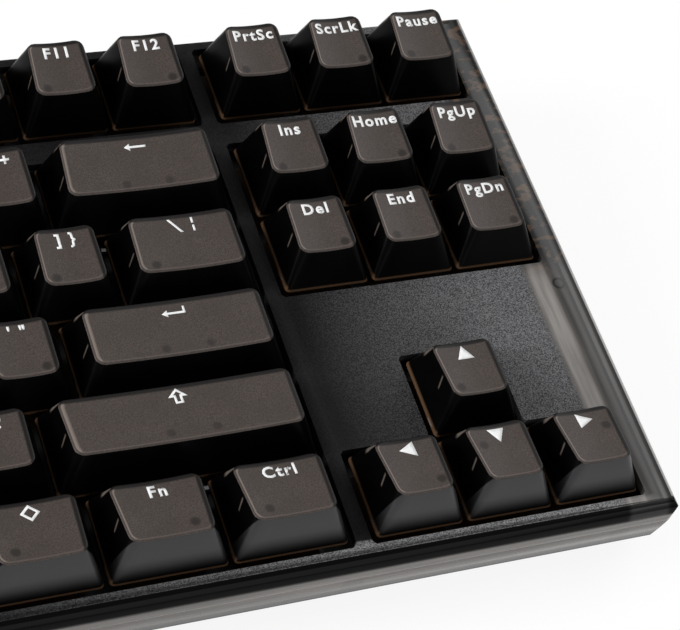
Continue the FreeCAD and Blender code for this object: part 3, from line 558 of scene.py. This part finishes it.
# ---------------------------------------------------------------- materials
def add_node(tree, kind, inputs=(), output=0, **settings):
    """Add a node and return that output of it, or the node where output is None.

    Inputs gives each socket a value or another node's output.
    """
    made = tree.nodes.new(kind)
    for name, value in settings.items():
        setattr(made, name, value)
    for socket, value in dict(inputs).items():
        if isinstance(value, bpy.types.NodeSocket):
            tree.links.new(value, made.inputs[socket])
        else:
            made.inputs[socket].default_value = value
    return made if output is None else made.outputs[output]


def new_material(name):
    """Empty material and its node tree."""
    material = bpy.data.materials.new(name)
    material.use_nodes = True
    material.node_tree.nodes.clear()
    return material, material.node_tree


def finished(material, inputs):
    """The material, ended by a Principled shader with these inputs."""
    shader = add_node(material.node_tree, "ShaderNodeBsdfPrincipled", inputs)
    add_node(material.node_tree, "ShaderNodeOutputMaterial", {"Surface": shader}, None)
    return material


def share_of(colour, share):
    """That share of a colour's light."""
    return tuple(c * share for c in colour[:3]) + (1.0,)


def deck_place(tree):
    """Deck place of the shaded point in millimetres, as a vector and as its x, y and z."""
    place = add_node(tree, "ShaderNodeMapping", {
        "Vector": add_node(tree, "ShaderNodeTexCoord", output="Object"), "Location": DECK_ORIGIN,
        "Rotation": (TYPING_ANGLE, 0, 0), "Scale": (MM, MM, MM)}, vector_type="TEXTURE")
    return place, *add_node(tree, "ShaderNodeSeparateXYZ", {0: place}, None).outputs


def kept_place(tree, name):
    """What a keycap keeps under that name at each point, as a vector and as its three numbers."""
    kept = add_node(tree, "ShaderNodeAttribute", output="Vector", attribute_name=name)
    return kept, *add_node(tree, "ShaderNodeSeparateXYZ", {0: kept}, None).outputs


def grained(tree, vector, size, height, strength=1.0):
    """Normal of a moulded grain: bumps of that size and height in millimetres."""
    grain = add_node(tree, "ShaderNodeTexNoise", {"Vector": vector, "Scale": 1 / size, "Detail": 2.0})
    return add_node(tree, "ShaderNodeBump", {"Height": grain, "Strength": strength, "Distance": height * MM})


def where_all(tree, *masks, operation="MULTIPLY"):
    """Mask that is 1 where all of the masks are: their product. A number among them is a strength."""
    share, *others = masks
    for mask in others:
        share = add_node(tree, "ShaderNodeMath", {0: share, 1: mask}, operation=operation)
    return share


def where_any(tree, *masks):
    """Mask that is 1 where any of the masks is: the greatest of them."""
    return where_all(tree, *masks, operation="MAXIMUM")


def band(tree, value, low, high, soft):
    """1 where value lies between low and high, fading over soft on both sides, else 0."""
    return where_all(tree, *(add_node(tree, "ShaderNodeMapRange", {
        "Value": value, "From Min": edge - soft / 2, "From Max": edge + soft / 2,
        "To Min": outside, "To Max": 1.0 - outside}, interpolation_type="SMOOTHSTEP")
        for edge, outside in ((low, 0.0), (high, 1.0))))


def laid_over(tree, base, colour, *masks):
    """Colour of base with another laid over it where all of the masks are 1."""
    return add_node(tree, "ShaderNodeMix", {0: where_all(tree, *masks), 6: base, 7: colour}, 2,
                    data_type="RGBA")


def cap_top_material(finish):
    """Smoked ABS, spark-grained in the mould: a satin top with painted shade on its far edge and a painted
    highlight on its near edge.
    """
    material, tree = new_material("smoked_abs_satin")
    place, x, y, _ = kept_place(tree, "cap_place")
    _, right, rear, inset = kept_place(tree, "cap_far")
    _, left, front, _ = kept_place(tree, "cap_near")
    _, mark_x, mark_y, mark_twin = kept_place(tree, "cap_marks")
    # Painted sheen that comes and goes in clouds about 7 mm across, under specks of grain 0.25 mm.
    cloud = add_node(tree, "ShaderNodeTexNoise", {"Vector": place, "Scale": 0.14, "Detail": 1.0})
    base = laid_over(tree, share_of(finish.cap_top, 0.8), share_of(finish.cap_top, 1.3), cloud)
    speck = add_node(tree, "ShaderNodeTexNoise", {"Vector": place, "Scale": 4.0, "Detail": 1.0})
    base = laid_over(tree, share_of(finish.cap_top, 0.68), base, band(tree, speck, 0.5, FAR, 0.3))
    # Round darker spots, 1.7 mm across.
    here = add_node(tree, "ShaderNodeCombineXYZ", {"X": x, "Y": y})
    for at in (mark_x, mark_twin):
        mark = add_node(tree, "ShaderNodeCombineXYZ", {"X": at, "Y": mark_y})
        away = add_node(tree, "ShaderNodeVectorMath", {0: mark, 1: here}, "Value", operation="DISTANCE")
        base = laid_over(tree, base, share_of(finish.cap_top, 0.25), band(tree, away, -1, 0.85, 0.8), 0.6)
    # The rounded edge: a painted highlight line on the left and faintly in front, and a painted dark strip
    # of shade right and rear.
    lit = where_any(tree, band(tree, left, -1, 1.3, 0.6),
                    where_all(tree, band(tree, front, -1, 1.2, 0.6), 0.25))
    base = laid_over(tree, base, finish.cap_glow, lit, band(tree, inset, 0.34, 0.58, 0.22), 0.6)
    far = where_any(tree, band(tree, right, -1, 1.0, 0.5), band(tree, rear, -1, 1.0, 0.5))
    base = laid_over(tree, base, finish.cap_side, far, 0.93)
    return finished(material, {"Base Color": base, "Roughness": 0.45, "IOR": 1.54,
                               "Specular IOR Level": 0.2, "Normal": grained(tree, place, 0.3, 0.02)})


def cap_side_material(finish):
    """Smoked ABS, polished in the mould: black walls, painted light on the fronts nearest the typist, and
    amber skirts with painted light passing through them.
    """
    material, tree = new_material("smoked_abs_polished")
    place, _, y, z = kept_place(tree, "cap_place")
    _, left, front, under = kept_place(tree, "cap_near")
    _, _, rear, _ = kept_place(tree, "cap_far")
    _, _, deck_y, _ = deck_place(tree)
    # Painted light on the fronts of the bottom row's keys, growing towards their tops.
    height = add_node(tree, "ShaderNodeMapRange", {"Value": z, "From Min": 0.5, "From Max": 4.5})
    face = where_all(tree, band(tree, deck_y, -FAR, PITCH / 2, 0.2), band(tree, front, -FAR, 0.35, 0.3),
                     height)
    cloud = add_node(tree, "ShaderNodeTexNoise", {"Vector": place, "Scale": 0.3, "Detail": 1.0})
    base = laid_over(tree, finish.cap_side, share_of(finish.cap_side, 0.4), cloud)
    base = laid_over(tree, base, finish.cap_front_lit, face)
    # A slanted tick of light on the left wall, and light caught in its rear upper corner.
    leaning = add_node(tree, "ShaderNodeMath", {0: under, 1: 0.55, 2: y}, operation="MULTIPLY_ADD")
    base = laid_over(tree, base, finish.cap_glow, band(tree, leaning, 0.35, 0.75, 0.3),
                     band(tree, under, 0.9, 3.2, 0.5), band(tree, left, -1, 0.4, 0.2), 0.28)
    base = laid_over(tree, base, finish.cap_glow, band(tree, rear, -FAR, 0.7, 0.4),
                     band(tree, left, -FAR, 0.7, 0.4), band(tree, under, -1, 2.6, 1.0), 0.4)
    # The skirt: thin and amber with painted light passing through it, higher up on the left, and a painted
    # glint at its front left corner.
    rim = band(tree, z, -1, 0.35, 0.5)
    base = laid_over(tree, base, finish.cap_rim, rim, 0.8)
    base = laid_over(tree, base, finish.cap_rim, band(tree, z, -1, 0.8, 0.7),
                     band(tree, left, -1, 0.3, 0.2), 0.55)
    base = laid_over(tree, base, finish.cap_glow, band(tree, left, -1, 1.0, 0.6),
                     band(tree, front, -1, 1.0, 0.6), rim, 0.7)
    gloss = add_node(tree, "ShaderNodeMapRange", {"Value": face, "To Min": 0.04, "To Max": 0.35})
    return finished(material, {"Base Color": base, "Roughness": 0.28, "IOR": 1.54,
                               "Specular IOR Level": gloss, "Normal": grained(tree, place, 0.6, 0.003)})


def legend_material(finish):
    """Pad-printed ink: opaque white, slightly uneven in tone."""
    material, tree = new_material("printed_ink")
    place, *_ = kept_place(tree, "cap_place")
    wear = add_node(tree, "ShaderNodeTexNoise", {"Vector": place, "Scale": 1.5, "Detail": 2.0})
    base = laid_over(tree, finish.legend, share_of(finish.legend, 0.86), wear)
    return finished(material, {"Base Color": base, "Roughness": 0.5, "IOR": 1.5})


def moulded(name, code, roughness, grain, height, ior=1.5):
    """Moulded plastic, rubber or laminate: one colour that drifts a little, with a fine grain."""
    material, tree = new_material(name)
    place, *_ = deck_place(tree)
    base = hex_to_linear(code)
    cloud = add_node(tree, "ShaderNodeTexNoise", {"Vector": place, "Scale": 0.12, "Detail": 2.0})
    return finished(material, {"Base Color": laid_over(tree, base, share_of(base, 0.75), cloud),
                               "Roughness": roughness, "IOR": ior,
                               "Normal": grained(tree, place, grain, height)})


def worked_metal(name, code, roughness, stretch):
    """Drawn, pressed or turned metal: fine lines along one way make the gloss uneven."""
    material, tree = new_material(name)
    place, *_ = deck_place(tree)
    drawn = add_node(tree, "ShaderNodeMapping", {"Vector": place, "Scale": stretch})
    lines = add_node(tree, "ShaderNodeTexNoise", {"Vector": drawn, "Scale": 2.0, "Detail": 3.0})
    base = hex_to_linear(code)
    rough = add_node(tree, "ShaderNodeMapRange", {
        "Value": lines, "To Min": roughness * 0.7, "To Max": roughness * 1.4})
    return finished(material, {"Base Color": laid_over(tree, base, share_of(base, 0.8), lines),
                               "Metallic": 1.0, "Roughness": rough})


def rim_profile(tree, out):
    """Share of painted light through the rim, out millimetres to the side of the key grid: rib and wall
    lines, and a painted highlight at the outer edge.
    """
    reach = add_node(tree, "ShaderNodeMapRange", {
        "Value": out, "From Min": RIM_START, "From Max": RIM_END})
    ramp = add_node(tree, "ShaderNodeValToRGB", {0: reach}, None)
    stops = ramp.color_ramp.elements
    for place, share in ((-5.0, 0.35), (-3.2, 0.9), (-0.2, 0.82), (0.7, 0.34), (1.6, 0.2), (3.1, 0.17),
                         (3.5, 0.03), (3.9, 0.04), (4.2, 0.34), (4.9, 0.28), (5.15, 0.03), (5.95, 0.05),
                         (6.1, 1.0), (7.35, 1.0), (7.6, 0.6)):
        stops.new((place - RIM_START) / (RIM_END - RIM_START)).color = (share, share, share, 1.0)
    stops.remove(stops[0])
    stops.remove(stops[-1])
    return ramp.outputs["Color"]


def wall_share(tree, x):
    """Share of light through a long wall: the middle stretch has a dark part behind it."""
    start, end = DARK_STRETCH
    shaded = band(tree, x, start * GRID_WIDTH, end * GRID_WIDTH, 3.0)
    return add_node(tree, "ShaderNodeMapRange", {"Value": shaded, "To Min": WALL_LIGHT, "To Max": 0.1})


def smoked(tree, finish, place, share, stretch, vary):
    """Colour of smoked clear plastic that passes that share of light, uneven in drawn-out streaks."""
    drawn = add_node(tree, "ShaderNodeMapping", {"Vector": place, "Scale": stretch})
    streaks = add_node(tree, "ShaderNodeTexNoise", {"Vector": drawn, "Scale": 1.0, "Detail": 3.0})
    uneven = add_node(tree, "ShaderNodeMapRange", {
        "Value": streaks, "From Min": 0.3, "From Max": 0.7, "To Min": 1 - vary, "To Max": 1.0})
    return laid_over(tree, finish.smoke_dark, finish.smoke_light, share, uneven)


def bezel_material(finish):
    """Smoked polycarbonate shell: grained and black over the plate with a painted sheen, glossy beyond its
    edge, where light passing the shell is painted in.
    """
    material, tree = new_material("smoked_polycarbonate_top")
    place, x, y, z = deck_place(tree)
    middle = add_node(tree, "ShaderNodeMath", {0: x, 1: -GRID_WIDTH / 2}, operation="ADD")
    aside = add_node(tree, "ShaderNodeMath", {0: middle}, operation="ABSOLUTE")
    out = add_node(tree, "ShaderNodeMath", {0: aside, 1: -GRID_WIDTH / 2}, operation="ADD")

    # Painted sheen: the field over the plate grows paler towards the navigation keys, in front sooner than
    # behind, and the front strip there is paler still.
    behind, ahead = (add_node(tree, "ShaderNodeMapRange", {
        "Value": x, "From Min": start * GRID_WIDTH, "From Max": end * GRID_WIDTH})
        for start, end in ((0.84, 0.96), (0.6, 0.88)))
    near = where_all(tree, ahead, band(tree, y, -FAR, -9.3, 0.5))
    field = laid_over(tree, finish.bezel, finish.bezel_lit, where_any(tree, behind, near))
    field = laid_over(tree, field, finish.floor, near, 0.16)
    speck = add_node(tree, "ShaderNodeTexNoise", {"Vector": place, "Scale": 4.2, "Detail": 1.0})
    field = laid_over(tree, laid_over(tree, field, finish.smoke_dark, 0.8), field,
                      band(tree, speck, 0.5, FAR, 0.35))

    # The rim at both ends, painted with the light that passes the smoked shell, with cells of painted amber
    # light behind the typing rows and the painted dark ring of a post seen through it.
    rim = smoked(tree, finish, place, rim_profile(tree, out), (0.8, 0.06, 0.8), 0.45)
    cells = add_node(tree, "ShaderNodeMapping", {"Vector": place, "Scale": (0.3, 0.45, 0.3)})
    cell = add_node(tree, "ShaderNodeTexNoise", {"Vector": cells, "Scale": 1.0, "Detail": 2.0})
    ribbed = laid_over(tree, finish.smoke_dark, share_of(finish.cap_rim, 0.5),
                       band(tree, cell, 0.56, FAR, 0.1))
    rim = laid_over(tree, rim, ribbed, band(tree, y, 46, FAR, 8.0), band(tree, out, -FAR, 6.6, 1.0), 0.85)
    here = add_node(tree, "ShaderNodeCombineXYZ", {"X": out, "Y": y})
    from_post = add_node(tree, "ShaderNodeVectorMath", {0: here, 1: (*SHELL_POST, 0.0)}, "Value",
                         operation="DISTANCE")
    rim = laid_over(tree, rim, finish.smoke_dark, band(tree, from_post, 0.9, 1.45, 0.4), 0.85)
    # Painted highlight along the outer edge of the rim.
    rim = laid_over(tree, rim, finish.floor, band(tree, out, 6.05, 7.4, 0.15), 0.22)
    beyond = band(tree, out, -4.5, FAR, 2.6)
    base = laid_over(tree, field, rim, beyond)

    # Painted shade on the rolled edge over the front wall, and painted light passing the wall lower down.
    rolled = where_all(tree, band(tree, z, 3.2, BEZEL - 0.03, 0.06), band(tree, y, -FAR, -11.6, 0.3))
    base = laid_over(tree, base, share_of(finish.smoke_dark, 0.5), rolled)
    wall = where_all(tree, band(tree, z, -FAR, 3.9, 0.9), band(tree, out, -FAR, 7.4, 0.4))
    base = laid_over(tree, base, smoked(tree, finish, place, wall_share(tree, x), (0.03, 0.03, 0.8), 0.4),
                     wall)
    gloss = where_any(tree, wall, beyond, rolled)
    clear = where_any(tree, wall, band(tree, out, -3.6, 5.0, 1.4))
    rough = add_node(tree, "ShaderNodeMapRange", {"Value": gloss, "To Min": 0.5, "To Max": 0.2})
    shine = add_node(tree, "ShaderNodeMapRange", {"Value": clear, "To Min": 0.05, "To Max": 0.22})
    depth = add_node(tree, "ShaderNodeMapRange", {"Value": gloss, "To Min": 0.6, "To Max": 0.02})
    return finished(material, {"Base Color": base, "IOR": 1.58, "Roughness": rough,
                               "Specular IOR Level": shine,
                               "Normal": grained(tree, place, 0.4, 0.06, depth)})


def lower_case_material(finish):
    """Smoked polycarbonate shell below the seam: painted light passing through it, with the ribs and pillars
    behind it painted in at their own share of light.
    """
    material, tree = new_material("smoked_polycarbonate_base")
    place, x, _, z = deck_place(tree)
    rib = add_node(tree, "ShaderNodeMath", {0: x, 1: 1.5 * PITCH}, operation="PINGPONG")
    share = add_node(tree, "ShaderNodeMapRange", {
        "Value": band(tree, rib, -1, 2.2, 1.6), "To Min": wall_share(tree, x), "To Max": 0.55})
    base = smoked(tree, finish, place, share, (0.03, 0.03, 0.7), 0.35)
    # Painted shade: the wall darkens in two steps where it turns under.
    turn = BEZEL - FRONT_TURN
    base = laid_over(tree, base, finish.smoke_dark, band(tree, z, -FAR, turn + 1.9, 0.8), 0.7)
    base = laid_over(tree, base, finish.smoke_dark, band(tree, z, -FAR, turn + 0.5, 0.2), 0.95)
    return finished(material, {"Base Color": base, "Roughness": 0.16, "IOR": 1.58,
                               "Specular IOR Level": 0.3, "Normal": grained(tree, place, 0.6, 0.004)})


def dress(node, material):
    """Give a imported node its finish."""
    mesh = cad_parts[node].data
    mesh.materials.clear()
    mesh.materials.append(material)


# ---------------------------------------------------------------- operators
class KEYBOARD_OT_keycaps(bpy.types.Operator):
    """Mould the keycaps with their stems and print their legends"""

    bl_idname = "keyboard.keycaps"
    bl_label = "Keycaps"

    def execute(self, context):
        sizes, finish = context.scene.keycap_settings, context.scene.keyboard_finish
        materials = [cap_top_material(finish), cap_side_material(finish), legend_material(finish)]
        shells, prints = {}, {}
        for node, keys in keys_in_layout().items():
            shape = Shape()
            for row, x, y, units, legend, place in keys:
                if (row, units) not in shells:
                    form = CapForm(row, units, sizes)
                    shells[row, units] = form, form.shell()
                form, (points, loops, totals, slots, inset) = shells[row, units]
                marks = dark_spot_places(row, units, legend, place)
                self.add(shape, form, (x, y), marks, points, loops, totals, slots, inset)
                stems = [(0.0, (POST, POST), SLIDER)]
                if units >= 2:
                    offset, post = stabiliser_offset(units), (STABILISER_SLIDER[0], POST)
                    stems += [(at, post, STABILISER_SLIDER) for at in (-offset, offset)]
                for at, post, slider in stems:
                    self.add(shape, form, (x, y), marks, *form.stem(at, post, slider), 1)
                if legend:
                    if legend not in prints:
                        size = sizes.legend_height * (SYMBOL_SIZE if legend in SYMBOLS else 1.0)
                        prints[legend] = glyph(legend, size, sizes.legend_relief)
                    points, loops, totals = prints[legend]
                    flat_x, flat_y = points[:, 0], form.shift + form.reach - LEGEND_DROP + points[:, 1]
                    points = np.stack((flat_x, flat_y, form.top(flat_x, flat_y) + points[:, 2]), axis=1)
                    self.add(shape, form, (x, y), marks, points, loops, totals, 2)
            made = shape.to_object("caps_" + node.replace("keys_", "").replace("key_", ""), materials)
            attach(made, node)
            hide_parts(node)
        return {"FINISHED"}

    @staticmethod
    def add(shape, form, centre, marks, points, loops, totals, slots, inset=0.0):
        """Set one shape over its key's place and note where each point lies on the key."""
        x, y, z = points.T
        reach = form.half - form.lean * np.maximum(z, 0)
        inset = np.broadcast_to(inset, x.shape)
        local = (points, np.stack((reach - x, form.shift + form.reach - y, inset), axis=1),
                 np.stack((reach + x, y - form.shift + form.reach, form.plane(y) - z), axis=1),
                 np.broadcast_to(marks, points.shape))
        shape.add(points + (centre[0], centre[1], SKIRT), loops, totals, slots, local)


class KEYBOARD_OT_case(bpy.types.Operator):
    """Ease the edges of both case shells and give them their smoked plastic"""

    bl_idname = "keyboard.case"
    bl_label = "Case shells"

    def execute(self, context):
        finish = context.scene.keyboard_finish
        for node, name, slot, bevel, material in (
                ("top_case", "top_shell", "bezel_plastic", 0.35, bezel_material(finish)),
                ("bottom_case", "bottom_shell", "smoked_plastic", 0.3, lower_case_material(finish))):
            shell = cleaned_copy(node, name, bevel)
            shell.data.materials.append(material)
            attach(shell, "case")
            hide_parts(node)
        return {"FINISHED"}


class KEYBOARD_OT_inside(bpy.types.Operator):
    """Finish the plate, the board, the switches, the stabilisers, the screws and the socket"""

    bl_idname = "keyboard.inside"
    bl_label = "Inner parts"

    def execute(self, context):
        dress("switch_plate", moulded("black_powder_coat", "#141416", 0.5, 0.3, 0.02))
        dress("circuit_board", moulded("solder_mask", "#12211C", 0.35, 0.8, 0.01))
        dress("switch_housings", moulded("smoked_nylon", "#3A2B20", 0.3, 0.8, 0.005))
        dress("stabiliser_housings", moulded("black_acetal", "#1A1A1B", 0.35, 0.6, 0.008))
        dress("case_screws", worked_metal("blackened_steel", "#3B3B3D", 0.35, (1, 1, 6)))
        dress("usb_socket", worked_metal("nickel_plated_steel", "#B9B8B4", 0.25, (1, 5, 1)))
        wire = worked_metal("drawn_spring_steel", "#A9AAAC", 0.28, (6, 1, 1))
        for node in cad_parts:
            if node.startswith("wire_"):
                dress(node, wire)
        return {"FINISHED"}


class KEYBOARD_OT_feet(bpy.types.Operator):
    """Finish the rubber pads and the folding tilt feet"""

    bl_idname = "keyboard.feet"
    bl_label = "Feet"

    def execute(self, context):
        dress("rubber_feet", moulded("black_rubber", "#17171A", 0.8, 0.35, 0.03))
        foot = moulded("smoked_polycarbonate_foot", "#2A2726", 0.22, 0.8, 0.004, ior=1.58)
        for side in ("left", "right"):
            dress("tilt_foot_" + side, foot)
        return {"FINISHED"}


class KEYBOARD_OT_stage(bpy.types.Operator):
    """Set the floor, the soft lights and the camera"""

    bl_idname = "keyboard.stage"
    bl_label = "Stage"

    def execute(self, context):
        scene = context.scene
        scene.view_settings.view_transform = "Standard"
        self.floor(scene)
        self.world(scene)
        self.lamp("from_right", (0.95, 0.35, 0.75), (0.1, 0.0, 0.0), 0.8, 0.8, 5.0)
        self.lamp("from_left", (-0.95, 0.1, 0.55), (0.1, 0.0, 0.02), 0.6, 0.6, 13.0)
        self.lamp("from_front", (0.3, -1.0, 0.5), (0.12, -0.05, 0.02), 0.9, 0.5, 2.5)
        self.camera(scene)
        return {"FINISHED"}

    def floor(self, scene):
        """White floor that is seen at full strength and still keeps some of the shadow."""
        half = 4.0
        corners = [(-half, -half, 0), (half, -half, 0), (half, half, 0), (-half, half, 0)]
        mesh = bpy.data.meshes.new("floor")
        mesh.from_pydata(corners, [], [(0, 1, 2, 3)])
        floor = bpy.data.objects.new("floor", mesh)
        scene.collection.objects.link(floor)
        material, tree = new_material("white_sweep")
        paint = add_node(tree, "ShaderNodeBsdfPrincipled", {
            "Base Color": scene.keyboard_finish.floor, "Roughness": 0.9})
        path = add_node(tree, "ShaderNodeLightPath", output=None).outputs
        seen = where_any(tree, path["Is Camera Ray"], path["Is Glossy Ray"], path["Is Transmission Ray"])
        glow = add_node(tree, "ShaderNodeEmission", {"Color": (1, 1, 1, 1), "Strength": 1.0})
        both = add_node(tree, "ShaderNodeMixShader", {
            0: where_all(tree, seen, FLOOR_GLOW), 1: paint, 2: glow})
        add_node(tree, "ShaderNodeOutputMaterial", {"Surface": both}, None)
        mesh.materials.append(material)

    def world(self, scene):
        """Even white light, seen at full strength by the camera."""
        world = bpy.data.worlds.new("studio")
        world.use_nodes = True
        tree = world.node_tree
        tree.nodes.clear()
        camera_ray = add_node(tree, "ShaderNodeLightPath", output="Is Camera Ray")
        strength = add_node(tree, "ShaderNodeMapRange", {
            "Value": camera_ray, "To Min": WORLD_STRENGTH, "To Max": 1.0})
        glow = add_node(tree, "ShaderNodeBackground", {"Color": (1, 1, 1, 1), "Strength": strength})
        add_node(tree, "ShaderNodeOutputWorld", {"Surface": glow}, None)
        scene.world = world

    def lamp(self, name, place, aim, width, height, power):
        """Rectangular soft lamp at a place in metres, turned to its aim, with its power in watts."""
        light = bpy.data.lights.new(name, "AREA")
        light.shape, light.size, light.size_y, light.energy = "RECTANGLE", width, height, power
        made = bpy.data.objects.new(name, light)
        made.location = place
        made.rotation_euler = (Vector(place) - Vector(aim)).to_track_quat("Z", "Y").to_euler()
        bpy.context.scene.collection.objects.link(made)

    def camera(self, scene):
        """Long lens over the right end of the keyboard, from the front left, rolled to the left."""
        azimuth, elevation, roll = (math.radians(a) for a in (-33.647, 48.341, 18.399))
        target, distance = Vector((0.12636, -0.01117, 0.02284)), 0.4466
        data = bpy.data.cameras.new("camera")
        data.lens, data.sensor_width = 117.98, 36.0
        data.clip_start = 0.02
        made = bpy.data.objects.new("camera", data)
        scene.collection.objects.link(made)
        back = Vector((math.sin(azimuth) * math.cos(elevation), -math.cos(azimuth) * math.cos(elevation),
                       math.sin(elevation)))
        made.location = target + back * distance
        made.rotation_mode = "QUATERNION"
        made.rotation_quaternion = (-back).to_track_quat("-Z", "Y") @ Quaternion((0, 0, 1), roll)
        scene.camera = made


class KEYBOARD_PT_panel(bpy.types.Panel):
    """Steps and settings of the keyboard's looks"""

    bl_label = "Keyboard"
    bl_idname = "KEYBOARD_PT_panel"
    bl_space_type = "VIEW_3D"
    bl_region_type = "UI"
    bl_category = "Keyboard"

    def draw(self, context):
        for step in STEPS:
            self.layout.operator(step.bl_idname)
        for settings in (context.scene.keycap_settings, context.scene.keyboard_finish):
            for name in settings.bl_rna.properties.keys():
                if name not in ("rna_type", "name"):
                    self.layout.prop(settings, name)


STEPS = (KEYBOARD_OT_keycaps, KEYBOARD_OT_case, KEYBOARD_OT_inside, KEYBOARD_OT_feet, KEYBOARD_OT_stage)
CLASSES = (KeycapSettings, FinishSettings, *STEPS, KEYBOARD_PT_panel)


def register():
    for made in CLASSES:
        bpy.utils.register_class(made)
    bpy.types.Scene.keycap_settings = bpy.props.PointerProperty(type=KeycapSettings)
    bpy.types.Scene.keyboard_finish = bpy.props.PointerProperty(type=FinishSettings)


def unregister():
    del bpy.types.Scene.keyboard_finish
    del bpy.types.Scene.keycap_settings
    for made in reversed(CLASSES):
        bpy.utils.unregister_class(made)


def main():
    register()
    bpy.ops.keyboard.keycaps()
    bpy.ops.keyboard.case()
    bpy.ops.keyboard.inside()
    bpy.ops.keyboard.feet()
    bpy.ops.keyboard.stage()


if __name__ == "__main__":
    main()
